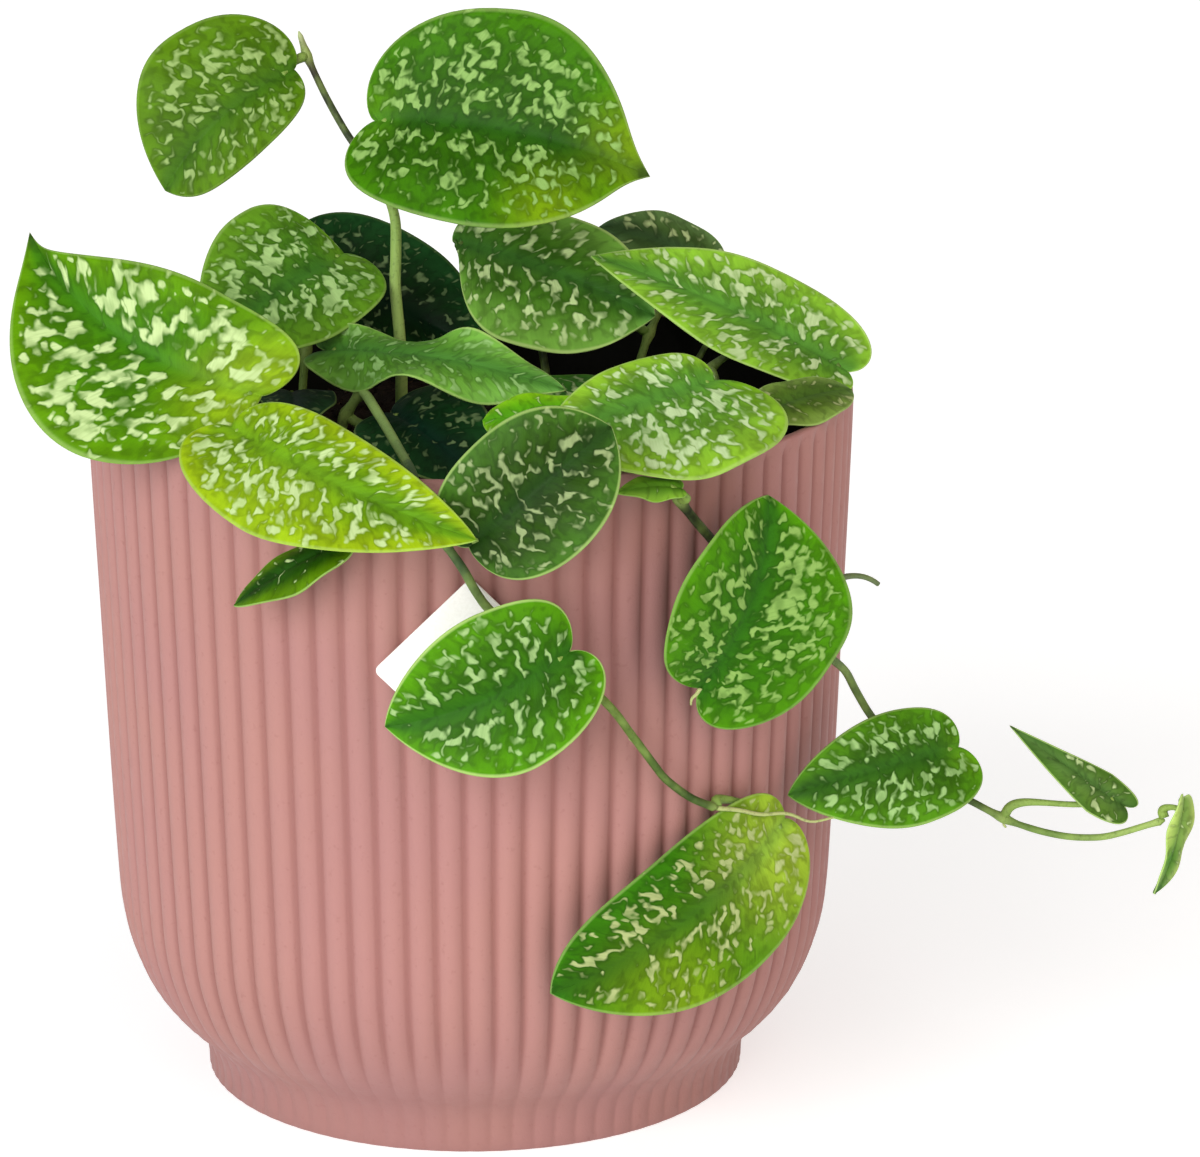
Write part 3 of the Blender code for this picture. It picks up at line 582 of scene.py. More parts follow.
def leaf_material():
    """Silver splashes that follow the side veins, on the green held by each leaf's own values."""
    s = Shader("leaf_tissue", 0.45, 0.07)
    place = s.attribute("vein", "Vector")  # along the side vein, along the midrib, seed
    sheet = s.attribute("sheet", "Vector")  # the same, between straight across and along the vein
    silver, rim, under = s.attribute("silver"), s.attribute("rim"), s.attribute("under")
    shift = s.vector("SUBTRACT", s.noise(sheet, 0.5, 1.0, output="Color"), (0.5, 0.5, 0.5))
    bent = s.vector("ADD", sheet, s.vector("MULTIPLY", shift, (SPLASH_BEND, SPLASH_BEND, 0.0)))

    patches = leaf_splashes(s, sheet, bent, silver)
    halo = s.step(patches, 0.26, 0.50, 1.16, 0.80)  # tissue is deeper green close to a splash
    marks = s.math("MAXIMUM", s.step(patches, 0.48, 0.65), leaf_dots(s, bent, silver, rim))
    marks = s.times(marks, s.step(s.noise(sheet, 0.3, 1.0), 0.3, 0.55, 0.62, 1.0))
    marks = s.times(marks, s.math("SUBTRACT", 1.0, under))

    # Faint streaks along the veins, through green and silver alike
    streaks = s.noise(s.vector("MULTIPLY", place, STREAKS_PER_MM), 1.0, 2.0)
    strength = s.times(marks, s.step(streaks, 0.25, 0.6, 0.80, 0.98))
    clouds = s.step(s.noise(place, 0.16, 2.0), 0.3, 0.7, 0.88, 1.14)
    shade = s.times(s.times(s.scaled(streaks, 0.26, 0.86), clouds), halo)
    base = s.blend(1.0, s.attribute("green", "Color"), shade, "MULTIPLY")
    top = s.blend(strength, base, s.attribute("pale", "Color"))

    # Margin line, and the paler, plain underside
    line = s.times(s.step(rim, 0.955, 0.99), s.attribute("line"))
    top = s.blend(line, top, linear(MARGIN_LINE))
    below = s.blend(0.45, base, linear(UNDERSIDE))
    grain = s.noise(s.object_place(), 2600.0, 2.0)
    gloss = s.scaled(grain, 0.16, s.scaled(marks, -0.05, 0.36))
    s.set(Base_Color=s.blend(under, top, below), Roughness=gloss)
    s.bump(s.plus(s.times(grain, 0.35), s.times(streaks, 0.5)), 0.35, 0.00022)
    return s.material


def stem_material():
    """Ridged green skin, whose tone comes from each stem's own values."""
    s = Shader("stem_skin", 0.48, 0.2)
    place = s.object_place()
    freckles = s.step(s.noise(place, 1500.0, 3.0), 0.52, 0.75, 0.0, 0.45)
    tone = s.blend(freckles, s.attribute("tone", "Color"), linear(STEM_FRECKLE))
    patches = s.step(s.noise(place, 260.0), 0.35, 0.7, 0.0, 0.35)
    s.set(Base_Color=s.blend(patches, tone, linear(STEM_PATCH)))
    s.bump(s.noise(s.vector("MULTIPLY", place, (1.0, 1.0, 0.25)), 2200.0, 3.0), 0.5, 0.0003)
    return s.material


def pot_material():
    """Matte pink moulded surface, with painted shade in each groove, on the inner wall and toward the foot.
    """
    s = Shader("pot_skin", 0.56, 0.16)
    place = s.object_place()
    skin = s.blend(s.step(s.noise(place, 34.0, 3.0), 0.3, 0.7), linear(POT_LIGHT), linear(POT_WARM))
    # Painted shade: the grooves between the ribs are darkened, less where the ribs are shallow
    groove_shade = s.step(s.attribute("crest"), 0.05, 0.6, 0.38, 0.0)
    skin = s.blend(groove_shade, skin, linear(POT_GROOVE_SHADE_AND_SPECK))
    # Painted shade, darker toward the foot
    foot = s.step(s.axis(place, 2), 0.0, FOOT_PAINTED_SHADE_TOP, FOOT_PAINTED_SHADE, 1.0)
    skin = s.blend(1.0, skin, foot, "MULTIPLY")
    specks = s.step(s.noise(place, 900.0, 2.0), 0.60, 0.8, 0.0, 0.18)
    skin = s.blend(specks, skin, linear(POT_GROOVE_SHADE_AND_SPECK))
    # Painted shade: the inner wall and the inside of the lip go near-black, with a ragged edge
    inside_shade = s.plus(s.attribute("inside"), s.scaled(s.noise(place, 160.0, 4.0), 0.5, -0.25))
    skin = s.blend(s.step(inside_shade, 0.35, 0.6), skin, linear(POT_INSIDE_SHADE))
    s.set(Base_Color=skin, Roughness=s.step(s.noise(place, 300.0, 3.0), 0.3, 0.7, 0.48, 0.62))
    s.bump(s.noise(place, 2400.0, 3.0, 0.6), 0.25, 0.0002)
    return s.material


def soil_material():
    """Dull, crumbly peat."""
    s = Shader("soil_peat", 0.92, 0.2)
    place = s.object_place()
    pores = s.step(s.noise(place, 700.0, 5.0, 0.65), 0.35, 0.65)
    s.set(Base_Color=s.blend(pores, s.attribute("tone", "Color"), linear(SOIL_PORE)))
    s.bump(s.noise(place, 900.0, 5.0, 0.7), 0.9, 0.0008)
    return s.material


def card_material():
    """White paper with a faint grain."""
    s = Shader("card_paper", 0.55, 0.3)
    fibres = s.noise(s.object_place(), 1800.0, 4.0, 0.6)
    s.set(Base_Color=s.blend(s.step(fibres, 0.3, 0.8), linear(CARD_WHITE), linear(CARD_GREY)))
    s.bump(fibres, 0.12, 0.0001)
    return s.material


def floor_material():
    """Pale paper with a faint light of its own."""
    s = Shader("floor_paper", 0.7, 0.2)
    clouds = s.step(s.noise(s.object_place(), 3.0), 0.2, 0.8)
    s.set(Base_Color=s.blend(clouds, FLOOR_PALE, FLOOR_SHADE))
    s.set(Emission_Color=WHITE, Emission_Strength=FLOOR_GLOW)
    return s.material


# Blade curves, the same as the frame's


def smooth_path(points, step):
    """Points about step apart on a smooth curve through the given ones, and where each given one falls."""
    points = [Vector(p) for p in points]
    ends = [points[0] * 2 - points[1]] + points + [points[-1] * 2 - points[-2]]
    path, marks = [], []
    for i in range(len(points) - 1):
        a, b, c, d = ends[i : i + 4]
        pieces = max(1, round((c - b).length / step))
        marks.append(len(path))
        for k in range(pieces):
            t = k / pieces
            bend = (2 * a - 5 * b + 4 * c - d) * t**2 + (3 * b - a - 3 * c + d) * t**3
            path.append(0.5 * (2 * b + (c - a) * t + bend))
    marks.append(len(path))
    path.append(points[-1])
    return path, marks


def stem_radius(name, share):
    foot, tip, _ = STEMS[name]
    return foot + (tip - foot) * share


def bezier(p0, p1, p2, p3, t):
    return p0 * (1 - t) ** 3 + p1 * 3 * (1 - t) ** 2 * t + p2 * 3 * (1 - t) * t**2 + p3 * t**3


def half_outline(t, lobe, wide, full, shoulder):
    """Half of a heart outline: place along the midrib and share of the width, from notch to tip."""
    if t < WIDEST:
        points = ((0, 0), (-0.8 * lobe, 0.08), (-1.7 * lobe - 0.02, 0.9), (wide, 1.0))
        share = t / WIDEST
    else:
        points = ((wide, 1.0), (wide + 0.30, shoulder), (0.92, full), (1.0, 0.0))
        share = (t - WIDEST) / (1 - WIDEST)
    return bezier(*(Vector(p) for p in points), share)


def drip_reach(t, drip):
    """How far the rows next to the tip are drawn out."""
    return drip * max(0.0, (t - DRIP_START) / (1 - DRIP_START)) ** 3


class Blade:
    """The curved sheet of one leaf. Rows run from the midrib to the margin as its side veins do."""

    def __init__(self, leaf):
        self.shape = {**PLAIN_BLADE, **leaf}
        self.base = Vector(leaf["base"])
        along = Vector(leaf["tip"]) - self.base
        self.length = along.length
        self.along = along.normalized()
        face = Vector(leaf["face"])
        self.up = (face - self.along * face.dot(self.along)).normalized()
        self.left = self.up.cross(self.along)
        self.edges = {}

    def edge(self, side, t):
        if (side, t) not in self.edges:
            shape = self.shape
            lobe, full = shape["lobes"][side], shape["full"][side]
            self.edges[side, t] = half_outline(t, lobe, shape["wide"], full, shape["shoulder"])
        return self.edges[side, t]

    def flat(self, side, t, w):
        """Place along the midrib and to the left of it, on the blade laid flat."""
        edge = self.edge(side, t)
        along = t * t * (1 - w) + edge.x * w + drip_reach(t, self.shape["drip"])
        across = self.shape["widths"][side] * edge.y * w
        return self.length * along, across if side == 0 else -across

    def point(self, side, t, w):
        """side 0 is left and 1 right, t runs from notch to tip, w from the midrib to the margin."""
        shape = self.shape
        x, y = self.flat(side, t, w)
        s = x / self.length
        spread = y / shape["widths"][side]
        lift = math.radians(shape["fold"])
        ripple = math.sin(math.tau * (1.6 * s + 0.25 * side + shape["phase"]))
        height = abs(y) * math.sin(lift) - shape["droop"] * spread**2 + shape["arch"] * 4 * s * (1 - s)
        height += shape["wave"] * ripple * spread**2
        sideways = y * math.cos(lift) + shape["sweep"] * 4 * s * (1 - s)
        return self.base + self.along * x + self.left * sideways + self.up * height

    def vein_places(self):
        """Distance along the blade of each row, halfway between midrib and margin."""
        places = [0.0]
        for i in range(BLADE_ROWS):
            steps = []
            for side in (0, 1):
                x0, y0 = self.flat(side, i / BLADE_ROWS, 0.55)
                x1, y1 = self.flat(side, (i + 1) / BLADE_ROWS, 0.55)
                steps.append(math.hypot(x1 - x0, y1 - y0))
            places.append(places[-1] + sum(steps) / 2)
        return places


def leave_stem(piece, aim):
    """Where a stalk starts just clear of its stem, its stem's own point, and its way out."""
    path, marks = smooth_path(STEMS[piece["stem"]][2], STEM_STEP)
    place = marks[piece["joint"]]
    joint = path[place]
    stem_way = (path[min(place + 1, len(path) - 1)] - path[max(place - 1, 0)]).normalized()
    square = aim - joint
    square = (square - stem_way * square.dot(stem_way)).normalized()
    clearance = stem_radius(piece["stem"], place / (len(path) - 1)) + NODE_SWELL + STALK_CLEARANCE
    return joint + square * clearance, joint, square


def stalk_path(joint, square, *handles):
    """A stalk's curve, bent by its handles, with its foot inside the stem."""
    path = [bezier(*handles, i / PETIOLE_STEPS) for i in range(PETIOLE_STEPS + 1)]
    return [joint + square * STALK_FOOT_REACH] + path


def petiole_path(leaf, blade):
    """The stalk grows out of its stem, square to it, and runs in under the blade's midrib."""
    end = blade.point(0, math.sqrt(PETIOLE_DEPTH / blade.length), 0)
    start, joint, square = leave_stem(leaf, end - blade.along * 4 - blade.up * 3)
    reach = (end - start).length
    arrive = Vector(leaf["arrive"]) if "arrive" in leaf else blade.along * 0.85 + blade.up * 0.5
    arrive.normalize()
    first = start + square * reach * leaf.get("rise", 0.35)
    second = end - arrive * reach * 0.4
    return stalk_path(joint, square, start, first, second, end)


def add_tube(shell, path, radii, sides, kind=0, **values):
    """Closed tube round a path. A value given as a list has one entry for each point of the path."""
    across = None
    rings = []
    for i, (point, radius) in enumerate(zip(path, radii)):
        ahead = path[min(i + 1, len(path) - 1)] - path[max(i - 1, 0)]
        ahead.normalize()
        if across is None:
            across = ahead.orthogonal()
        across = (across - ahead * across.dot(ahead)).normalized()
        own = {name: value[i] if isinstance(value, list) else value for name, value in values.items()}
        rings.append(shell.ring(point, across, ahead.cross(across), radius, sides, **own))
    shell.skin(rings, kind)


# Leaves


def leaf_green(blade, look, side, t, w):
    """The blade's own green at a place, without its splashes."""
    colour = mix(linear(look["mid"]), linear(look["edge"]), ramp(w, 0.35, 1.0))
    x, y = blade.flat(side, t, w)
    for *spot, reach, flush in look["flush"]:
        fx, fy = blade.flat(*spot)
        apart = math.hypot(x - fx, y - fy)
        colour = mix(colour, linear(flush), 0.9 * (1 - ramp(apart, 0.0, reach * blade.length)))
    red, green, blue, _ = colour
    midrib = (red * 0.62, green * 0.76, blue * 1.3 + 0.004, 1.0)
    return mix(colour, midrib, 0.7 * hump(y, MIDRIB_REACH))


def silver_share(blade, look, side, t, w):
    """How much of the blade is silver at a place: none at the midrib, tip and margin."""
    y = abs(blade.flat(side, t, w)[1])
    clear = ramp(y, 0.9, 2.8) * (1 - ramp(w, 0.88, 0.97)) * (1 - ramp(t, 0.90, 0.98)) * ramp(t, 0.03, 0.10)
    toward_margin = 1.0 - 0.42 * ramp(w, 0.5, 0.9)
    return look["silver"] * clear * toward_margin


def quilting(seed, across, along, w):
    """Rise of the tissue between the side veins, and unevenness of the blade."""
    fade = ramp(abs(across), 0.6, 3.5) * (1 - ramp(w, 0.7, 1.0))
    veins = math.tau * along / QUILT_PITCH + 0.5 * math.sin(across * 0.3 + seed)
    uneven = noise.noise(Vector((across * 0.16, along * 0.16, seed)))
    return QUILT_RISE * math.sin(veins) * fade + UNEVEN_RISE * uneven * ramp(abs(across), 0.5, 4.0)


def sheet_normals(faces, points):
    """Upward normals of the blade's middle sheet, whose faces look down."""
    mesh = bpy.data.meshes.new("sheet")
    mesh.from_pydata(points, [], faces)
    mesh.update()
    normals = [-vertex.normal for vertex in mesh.vertices]
    bpy.data.meshes.remove(mesh)
    return normals


def sheet_grid(rows, columns):
    """Spots of the sheet, its faces, which look down, and its margin. The spots are the notch,
    the tip, then the rows from the left margin to the right."""
    spots = [(0, 0.0, 0.0), (0, 1.0, 0.0)]
    for i in range(1, rows):
        for j in range(-columns, columns + 1):
            spots.append((0 if j < 0 else 1, i / rows, abs(j) / columns))

    def cell(i, j):
        return 2 + (i - 1) * (2 * columns + 1) + j + columns

    faces = []
    for j in range(-columns, columns):
        faces.append((0, cell(1, j), cell(1, j + 1)))
        faces.append((1, cell(rows - 1, j + 1), cell(rows - 1, j)))
        for i in range(1, rows - 1):
            faces.append((cell(i, j), cell(i + 1, j), cell(i + 1, j + 1), cell(i, j + 1)))
    margin = [cell(i, columns) for i in range(1, rows)] + [1]
    margin += [cell(i, -columns) for i in range(rows - 1, 0, -1)] + [0]
    return spots, faces, margin


def add_blade(shell, blade, look, seed):
    """Upper and lower skin of the blade, and the rounded margin that joins them."""
    spots, faces, margin = sheet_grid(BLADE_ROWS, BLADE_COLUMNS)
    middle = [blade.point(*spot) for spot in spots]
    normals = sheet_normals(faces, middle)
    rows = blade.vein_places()
    shared = dict(pale=linear(look["pale"]), line=look["rim"], splash=look["splash"])
    skins = []
    for under in (0.0, 1.0):
        skin = []
        for (side, t, w), point, normal in zip(spots, middle, normals):
            x, across = blade.flat(side, t, w)
            along = rows[round(t * BLADE_ROWS)]
            relief = quilting(seed, across, along, w)
            half = MARGIN_HALF + (BLADE_HALF - MARGIN_HALF) * (1 - ramp(w, 0.2, 1.0))
            if under:
                shift = relief * 0.6 - half - KEEL_RISE * hump(across, KEEL_REACH) * (1 - t)
            else:
                shift = relief + half - GROOVE_DEPTH * hump(across, GROOVE_REACH) * (1 - t * t)
            skin.append(shell.add(
                point + normal * shift,
                vein=(across, along, seed),
                sheet=(across, x + (along - x) * look["stroke"], seed),
                green=leaf_green(blade, look, side, t, w),
                silver=silver_share(blade, look, side, t, w),
                rim=w if 0.0 < t < 1.0 else 1.0,
                under=under,
                **shared,
            ))
        skins.append(skin)
    top, bottom = skins
    for face in faces:
        shell.face(*(top[i] for i in reversed(face)))
        shell.face(*(bottom[i] for i in face))
    edge = []
    for k, i in enumerate(margin):
        before, after = middle[margin[k - 1]], middle[margin[(k + 1) % len(margin)]]
        outward = (after - before).cross(normals[i]).normalized()
        side, t, _ = spots[i]
        spot = (0.0, rows[round(t * BLADE_ROWS)], seed)
        green = leaf_green(blade, look, side, t, 1.0)
        point = middle[i] + outward * MARGIN_HALF * 0.8
        own = dict(vein=spot, sheet=spot, green=green, silver=0.0, rim=1.0, under=0.0)
        edge.append(shell.add(point, **own, **shared))
    for k, first in enumerate(margin):
        following = (k + 1) % len(margin)
        second = margin[following]
        shell.face(top[second], top[first], edge[k], edge[following])
        shell.face(bottom[first], bottom[second], edge[following], edge[k])


def make_leaf(name, leaf, tissue, skin):
    blade = Blade(leaf)
    look = {**PLAIN_LOOK, **LOOKS.get(name, {})}
    shell = Shell()
    add_blade(shell, blade, look, 7.3 * (1 + int(name[-2:])))
    path = petiole_path(leaf, blade)
    shares = [i / (len(path) - 1) for i in range(len(path))]
    radii = [PETIOLE_NECK + (PETIOLE_FOOT - PETIOLE_NECK) * (1 - ramp(share, 0.0, 0.6)) for share in shares]
    tone = mix(linear(look["mid"]), linear(look["stalk"]), 0.62)
    add_tube(shell, path, radii, PETIOLE_SIDES, kind=1, tone=tone)
    if name == NUB_LEAF:
        add_rootlet(shell, blade.base, Vector(NUB_WAY), NUB_LENGTH, kind=1)
    shell.finish(name, "leaf", tissue, skin)


def make_bare_petiole(skin):
    bend, end = Vector(BARE_PETIOLE["bend"]), Vector(BARE_PETIOLE["end"])
    start, joint, square = leave_stem(BARE_PETIOLE, bend)
    path = stalk_path(joint, square, start, start + square * 3, bend, end)
    radii = [0.85 - 0.4 * i / (len(path) - 1) for i in range(len(path))]
    shell = Shell()
    add_tube(shell, path, radii, PETIOLE_SIDES, tone=linear(BARE_STALK))
    shell.finish("petiole_bare", "stem", skin)


# Stems: tone along each one, from foot to tip
STEM_TONES = {
    "stem_1": (
        (0.0, (96, 124, 60)), (0.3, (150, 182, 100)), (0.62, (136, 168, 84)), (0.72, (56, 70, 42)),
        (0.85, (36, 42, 32)), (0.94, (58, 52, 40)), (1.0, (180, 196, 140))),
    # Painted shade: the dark stretch of stem_2 just over the rim
    "stem_2": (
        (0.0, (90, 110, 50)), (0.22, (140, 170, 96)), (0.42, (130, 160, 88)), (0.5, (64, 86, 54)),
        (0.62, (58, 82, 50)), (0.7, (124, 144, 66)), (0.84, (92, 120, 46)), (1.0, (44, 68, 26))),
    # Painted shade: the near-black stretch of stem_3 just over the rim
    "stem_3": (
        (0.0, (90, 110, 50)), (0.28, (40, 52, 28)), (0.36, (18, 24, 14)), (0.46, (24, 34, 18)),
        (0.55, (72, 98, 46)), (0.68, (86, 108, 56)), (0.78, (54, 72, 40)), (0.88, (92, 120, 56)),
        (1.0, (156, 182, 100))),
}
# Painted shade: stem_6 and stem_7, deep among the leaves, get dark tones for the shade they sit in
for shaded in ("stem_6", "stem_7"):
    STEM_TONES[shaded] = ((0.0, (24, 36, 12)), (1.0, (34, 50, 18)))
PLAIN_TONES = ((0.0, (100, 126, 60)), (0.5, (122, 150, 72)), (1.0, (96, 126, 56)))

# Aerial rootlets: stem, point of it, way it grows, length
ROOTLETS = (
    ("stem_2", 16, (22.0, 12.0, -6.6), 27.0),
    ("stem_2", 13, (0.2, 0.4, -0.9), 2.5),
    ("stem_2", 11, (0.3, 0.2, -0.9), 2.5),
    ("stem_3", 12, (-0.1, 0.5, -0.8), 2.5),
    ("stem_3", 14, (0.2, 0.1, -0.9), 2.0),
    ("stem_8", 7, (0.3, -0.2, -0.9), 3.0),
    ("stem_1", 5, (-0.9, 0.1, -0.3), 1.6),
)
ROOTLET_RADIUS = 0.45
ROOTLET_TAPER = 0.26
ROOTLET_SIDES = 8
ROOTLET = (176, 184, 124)
NUB_LEAF = "leaf_16"  # a short rootlet shows at this leaf's notch
NUB_WAY = (-0.5, 0.1, -0.85)
NUB_LENGTH = 3.6


def make_stem(name, skin):
    path, marks = smooth_path(STEMS[name][2], STEM_STEP)
    fine, _ = smooth_path(path, STEM_STEP / FINE_PARTS)
    lengths = [0.0]
    for a, b in zip(fine, fine[1:]):
        lengths.append(lengths[-1] + (b - a).length)
    stalks = [*LEAVES.values(), BARE_PETIOLE]
    nodes = sorted({marks[stalk["joint"]] for stalk in stalks if stalk["stem"] == name})
    nearest = [min(range(len(fine)), key=lambda k: (fine[k] - path[node]).length) for node in nodes]
    swells = [lengths[k] for k in nearest]
    radii, colours = [], []
    for k, length in enumerate(lengths):
        share = k / (len(fine) - 1)
        swell = min(1.0, sum(hump(length - place, SWELL_REACH) for place in swells))
        neck = min(1.0, sum(hump(length - place - NECK_PLACE, NECK_REACH) for place in swells))
        radius = stem_radius(name, share) + NODE_SWELL * swell - NECK_DEPTH * neck
        if name == STOUT_STEM:
            radius += STOUT_BY * (1 - ramp(share, 0.55, 0.75))
        end = min(1.0, (lengths[-1] - length) / TIP_ROUND)
        radii.append(radius * math.sqrt(max(0.06, 1 - (1 - end) ** 2)))
        tone = linear(tone_at(STEM_TONES.get(name, PLAIN_TONES), share))
        colours.append(mix(tone, linear(STEM_JOINT), 0.45 * swell))
    shell = Shell()
    add_tube(shell, fine, radii, STEM_SIDES, tone=colours)
    for stem, joint, way, length in ROOTLETS:
        if stem == name:
            add_rootlet(shell, path[marks[joint]], Vector(way), length)
    shell.finish(name, "stem", skin)


def tone_at(tones, share):
    """Colour at a share of the stem's length."""
    for (low, first), (high, second) in zip(tones, tones[1:]):
        if share <= high:
            return mix(first, second, (share - low) / (high - low))
    return tones[-1][1]


def add_rootlet(shell, start, way, length, kind=0):
    """Thin root that wavers up and down."""
    way.normalize()
    over = Vector((-way.z, 0.0, way.x)).normalized()
    steps = max(8, round(length))
    path, radii = [], []
    for k in range(steps + 1):
        t = k / steps
        waver = 0.09 * min(length, 9.0) * t * math.sin(7.2 * t * max(1.0, length / 13))
        path.append(start + way * length * t + over * waver)
        radii.append(ROOTLET_RADIUS - ROOTLET_TAPER * t)
    add_tube(shell, path, radii, ROOTLET_SIDES, kind=kind, tone=linear(ROOTLET))


# Pot, soil and card


def ribbed_ring(shell, height, radius):
    """One level of the pot's outside."""
    depth = RIB_DEPTH * ramp(height, -1.5, 4.0) * (1 - ramp(height, 129.0, LIP_START + 0.3))
    depth *= FOOT_RIBS + (1 - FOOT_RIBS) * ramp(height, 8.0, 28.0)
    ring = []
    for i in range(RIBS * RIB_STEPS):
        angle = math.tau * i / (RIBS * RIB_STEPS)
        crest = abs(math.sin(RIBS * angle / 2))
        r = radius - depth * (1 - crest) ** 1.15
        place = Vector((r * math.cos(angle), r * math.sin(angle), height))
        # crest, low in the grooves, sets how much painted shade each groove gets
        ring.append(shell.add(place, crest=0.8 + (crest - 0.8) * depth / RIB_DEPTH))
    return ring


def make_pot(skin):
    shell = Shell()
    rings = [ribbed_ring(shell, 0.0, POT_LEVELS[0][1] - FOOT_ROUND)]
    rows = round(LIP_START / POT_STEP)
    for height in [FOOT_ROUND] + [LIP_START * i / rows for i in range(1, rows + 1)]:
        rings.append(ribbed_ring(shell, height, smooth_between(POT_LEVELS, height)))
    count = RIBS * RIB_STEPS
    for radius, height in POT_LIP:
        # inside sets where the painted shade of the inner wall begins
        inside = ramp(LIP_START - height, 0.0, 2.5)
        rings.append(shell.level_ring(radius, height, count, crest=0.9, inside=inside))
    for height in (118.0, 100.0, 60.0):
        radius = between(INNER_LEVELS, height)
        rings.append(shell.level_ring(radius, height, count, crest=0.6, inside=1.0))
    floor_height, floor_radius = INNER_LEVELS[0]
    rings.append(shell.level_ring(floor_radius, floor_height, count, crest=0.6))
    shell.skin(rings)
    shell.finish("pot", "pot", skin)


def soil_height(x, y):
    """Lumpy top of the soil."""
    lumps = math.sin(0.21 * x + 0.6) * math.cos(0.19 * y - 0.4) + 0.6 * math.sin(0.37 * y + 0.23 * x)
    return SOIL_TOP + SOIL_LUMP * lumps * 0.6


def soil_dip(reach, edge):
    """How far the soil falls away next to the pot's wall."""
    return SOIL_DIP * ramp(reach, edge - SOIL_SLOPE, edge)


def soil_body(shell, edge):
    """The filled body of the soil with its rough top."""
    dark, warm = linear(SOIL_DARK), linear(SOIL_WARM)
    rings = []
    for height in (3.3, 60.0):
        radius = between(INNER_LEVELS, height) - SOIL_GAP
        rings.append(shell.level_ring(radius, height, SOIL_STEPS, tone=dark))
    for k in range(SOIL_RINGS):
        radius = edge * (1 - k / SOIL_RINGS)
        ring = []
        for x, y, _ in circle(radius, 0, SOIL_STEPS):
            rough = noise.fractal(Vector((x * 0.28, y * 0.28, 4.0)), 0.6, 2.0, 5)
            height = soil_height(x, y) + 0.9 * rough - soil_dip(radius, edge)
            ring.append(shell.add(Vector((x, y, height)), tone=mix(dark, warm, ramp(rough, -0.5, 0.9))))
        rings.append(ring)
    shell.skin(rings)


def scattered(draw, edge):
    """A random place within a circle, and its distance from the middle."""
    turn, reach = draw.uniform(0, math.tau), edge * math.sqrt(draw.random())
    return reach * math.cos(turn), reach * math.sin(turn), reach


def add_fibre(shell, draw, edge):
    """A thin curled fibre that lies on the soil."""
    x, y, _ = scattered(draw, edge - 4)
    heading, length = draw.uniform(0, math.tau), draw.uniform(2.0, 7.0)
    way = Vector((math.cos(heading), math.sin(heading), 0))
    side = way.cross(Vector((0, 0, 1)))
    curl = draw.uniform(-0.9, 0.9)
    path = []
    for k in range(FIBRE_STEPS):
        t = k / (FIBRE_STEPS - 1) - 0.5
        spot = Vector((x, y, 0)) + way * length * t + side * curl * (t * t * 4 - 0.5)
        height = soil_height(spot.x, spot.y) + 0.55 + 0.3 * math.cos(k * 1.7)
        path.append(Vector((spot.x, spot.y, height)))
    tone = mix(linear(FIBRE_PALE), linear(FIBRE_DARK), draw.random())
    add_tube(shell, path, [FIBRE_RADIUS] * FIBRE_STEPS, 4, tone=tone)


def make_soil(peat):
    draw = random.Random(11)
    shell = Shell()
    edge = between(INNER_LEVELS, SOIL_TOP - 3) - SOIL_GAP
    soil_body(shell, edge)
    for _ in range(CRUMBS):
        x, y, reach = scattered(draw, edge - 1.5)
        size = 0.45 + 1.5 * draw.random() ** 3
        place = Vector((x, y, soil_height(x, y) + 0.15 * size - soil_dip(reach, edge)))
        add_crumb(shell, draw, place, size, mix(linear(SOIL_DARK), linear(SOIL_WARM), draw.random()))
    for _ in range(FIBRES):
        add_fibre(shell, draw, edge)
    shell.finish("soil", "soil", peat)


CRUMB_CORNERS = [
    Vector((a, b, c)).normalized()
    for a, b, c in (
        (0, 1, 1.618), (0, -1, 1.618), (0, 1, -1.618), (0, -1, -1.618),
        (1, 1.618, 0), (-1, 1.618, 0), (1, -1.618, 0), (-1, -1.618, 0),
        (1.618, 0, 1), (1.618, 0, -1), (-1.618, 0, 1), (-1.618, 0, -1),
    )
]

CRUMB_FACES = (
    (0, 1, 8), (0, 10, 1), (0, 8, 4), (0, 4, 5), (0, 5, 10), (3, 2, 9), (3, 11, 2), (3, 9, 6), (3, 6, 7),
    (3, 7, 11), (1, 7, 6), (1, 6, 8), (1, 10, 7), (2, 5, 4), (2, 4, 9), (2, 11, 5), (8, 6, 9), (8, 9, 4),
    (10, 11, 7), (10, 5, 11),
)


def add_crumb(shell, draw, place, size, tone):
    """An uneven lump: a solid of twenty triangles, each cut in four, pushed about by noise."""
    corners = list(CRUMB_CORNERS)
    middles = {}

    def middle(i, j):
        key = (min(i, j), max(i, j))
        if key not in middles:
            corners.append((corners[i] + corners[j]).normalized())
            middles[key] = len(corners) - 1
        return middles[key]

    faces = []
    for i, j, k in CRUMB_FACES:
        a, b, c = middle(i, j), middle(j, k), middle(k, i)
        faces += [(i, a, c), (j, b, a), (k, c, b), (a, b, c)]
    stretch = Vector((draw.uniform(0.7, 1.3), draw.uniform(0.7, 1.3), draw.uniform(0.5, 0.9)))
    shift = Vector((draw.uniform(0, 50), draw.uniform(0, 50), draw.uniform(0, 50)))
    made = []
    for corner in corners:
        swell = size * (1 + 0.55 * noise.noise(corner * 1.3 + shift))
        made.append(shell.add(place + corner * stretch * swell, tone=tone))
    for face in faces:
        shell.face(*(made[i] for i in face))


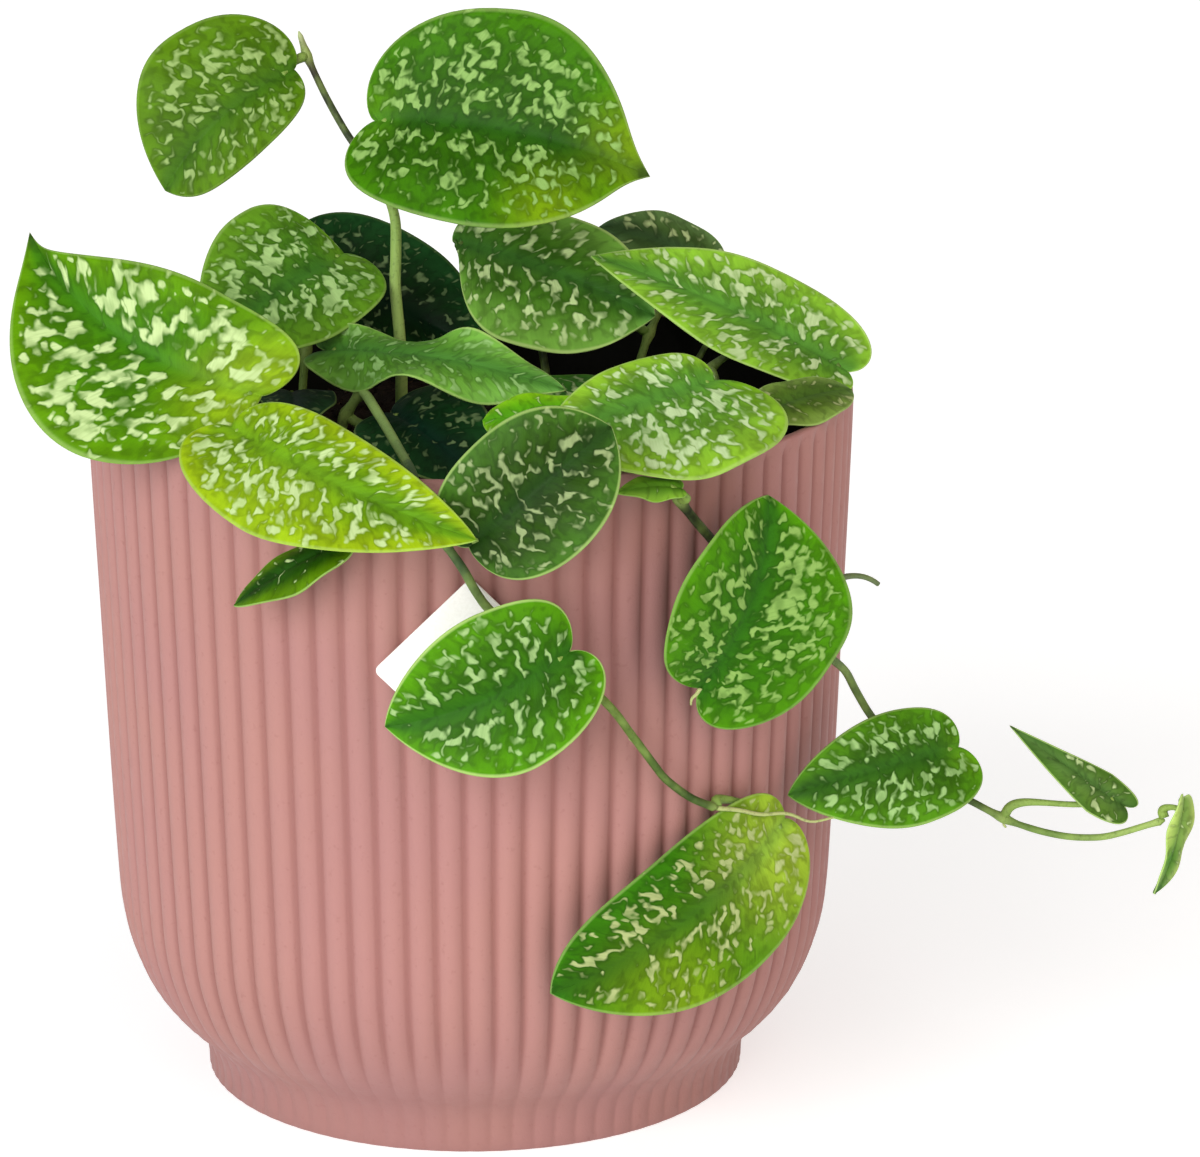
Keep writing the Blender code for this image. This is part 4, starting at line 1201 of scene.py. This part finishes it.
def make_card(paper):
    """A square on one of its corners, leaning as the pot's wall does."""
    x, z = CARD_CENTRE
    lean = math.atan2(between(POT_LEVELS, z + 10) - between(POT_LEVELS, z - 10), 20.0)
    turned = Euler((lean, math.radians(45), 0.0)).to_matrix()
    half = CARD_THICKNESS / 2
    centre = Vector((x, -(between(POT_LEVELS, z) + CARD_GAP + half), z))
    back = [(inset, half - depth) for inset, depth in CARD_EDGE]
    reach = CARD_SIDE / 2 - CARD_CORNER
    shell = Shell()
    rings = []
    for inset, depth in back + [(inset, -depth) for inset, depth in reversed(back)]:
        ring = []
        for corner, (a, b) in enumerate(((1, 1), (-1, 1), (-1, -1), (1, -1))):
            for step in range(7):
                angle = math.radians(90 * corner + 15 * step)
                round_by = CARD_CORNER - inset
                bend = Vector((round_by * math.cos(angle), depth, round_by * math.sin(angle)))
                ring.append(shell.add(turned @ (Vector((a, 0, b)) * reach + bend) + centre))
        rings.append(ring)
    shell.skin(rings)
    shell.finish("label", "label", paper)


# Floor, light and camera


def make_floor():
    size = FLOOR_HALF
    mesh = bpy.data.meshes.new("floor")
    corners = [(-size, -size, 0), (size, -size, 0), (size, size, 0), (-size, size, 0)]
    mesh.from_pydata(corners, [], [(0, 1, 2, 3)])
    mesh.materials.append(floor_material())
    floor = bpy.data.objects.new("floor", mesh)
    bpy.context.scene.collection.objects.link(floor)


def make_world():
    """Soft light all round, warmer from the right. The camera itself sees plain white."""
    world = bpy.data.worlds.new("studio")
    bpy.context.scene.world = world
    world.use_nodes = True
    w = Tree(world.node_tree)
    right = w.axis(w.node("ShaderNodeTexCoord", "Generated"), 0)
    seen = w.node("ShaderNodeLightPath", "Is Camera Ray")
    light = w.blend(right, WHITE, WORLD_RIGHT_TINT)
    background = w.nodes["Background"].inputs
    w.put(w.blend(seen, light, WHITE), background["Color"])
    w.put(w.node("ShaderNodeMix", 0, {0: seen, 2: WORLD_STRENGTH, 3: 1.0}), background["Strength"])


def make_lights():
    for name, (strength, softness, place, colour) in SUNS.items():
        sun = bpy.data.lights.new(name, "SUN")
        sun.energy = strength
        sun.angle = math.radians(softness)
        sun.color = colour
        obj = bpy.data.objects.new(name, sun)
        obj.rotation_mode = "QUATERNION"
        obj.rotation_quaternion = Vector(place).to_track_quat("Z", "Y")
        bpy.context.scene.collection.objects.link(obj)


def make_camera():
    lens = bpy.data.cameras.new("camera")
    lens.sensor_width = 36.0
    lens.lens = CAMERA_LENS
    lens.clip_start, lens.clip_end = CAMERA_REACH
    camera = bpy.data.objects.new("camera", lens)
    camera.location = CAMERA_PLACE
    camera.rotation_euler = (math.radians(90 - CAMERA_PITCH), 0.0, 0.0)
    bpy.context.scene.collection.objects.link(camera)
    bpy.context.scene.camera = camera


def corners(bounds):
    return [list(bounds[0]), list(bounds[1])]


def main():
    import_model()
    bpy.context.scene.view_settings.view_transform = "Standard"
    make_pot(pot_material())
    make_soil(soil_material())
    make_card(card_material())
    tissue, skin = leaf_material(), stem_material()
    for name in STEMS:
        make_stem(name, skin)
    for name, leaf in LEAVES.items():
        make_leaf(name, leaf, tissue, skin)
    make_bare_petiole(skin)
    make_floor()
    make_world()
    make_lights()
    make_camera()
    bpy.context.view_layer.update()


main()
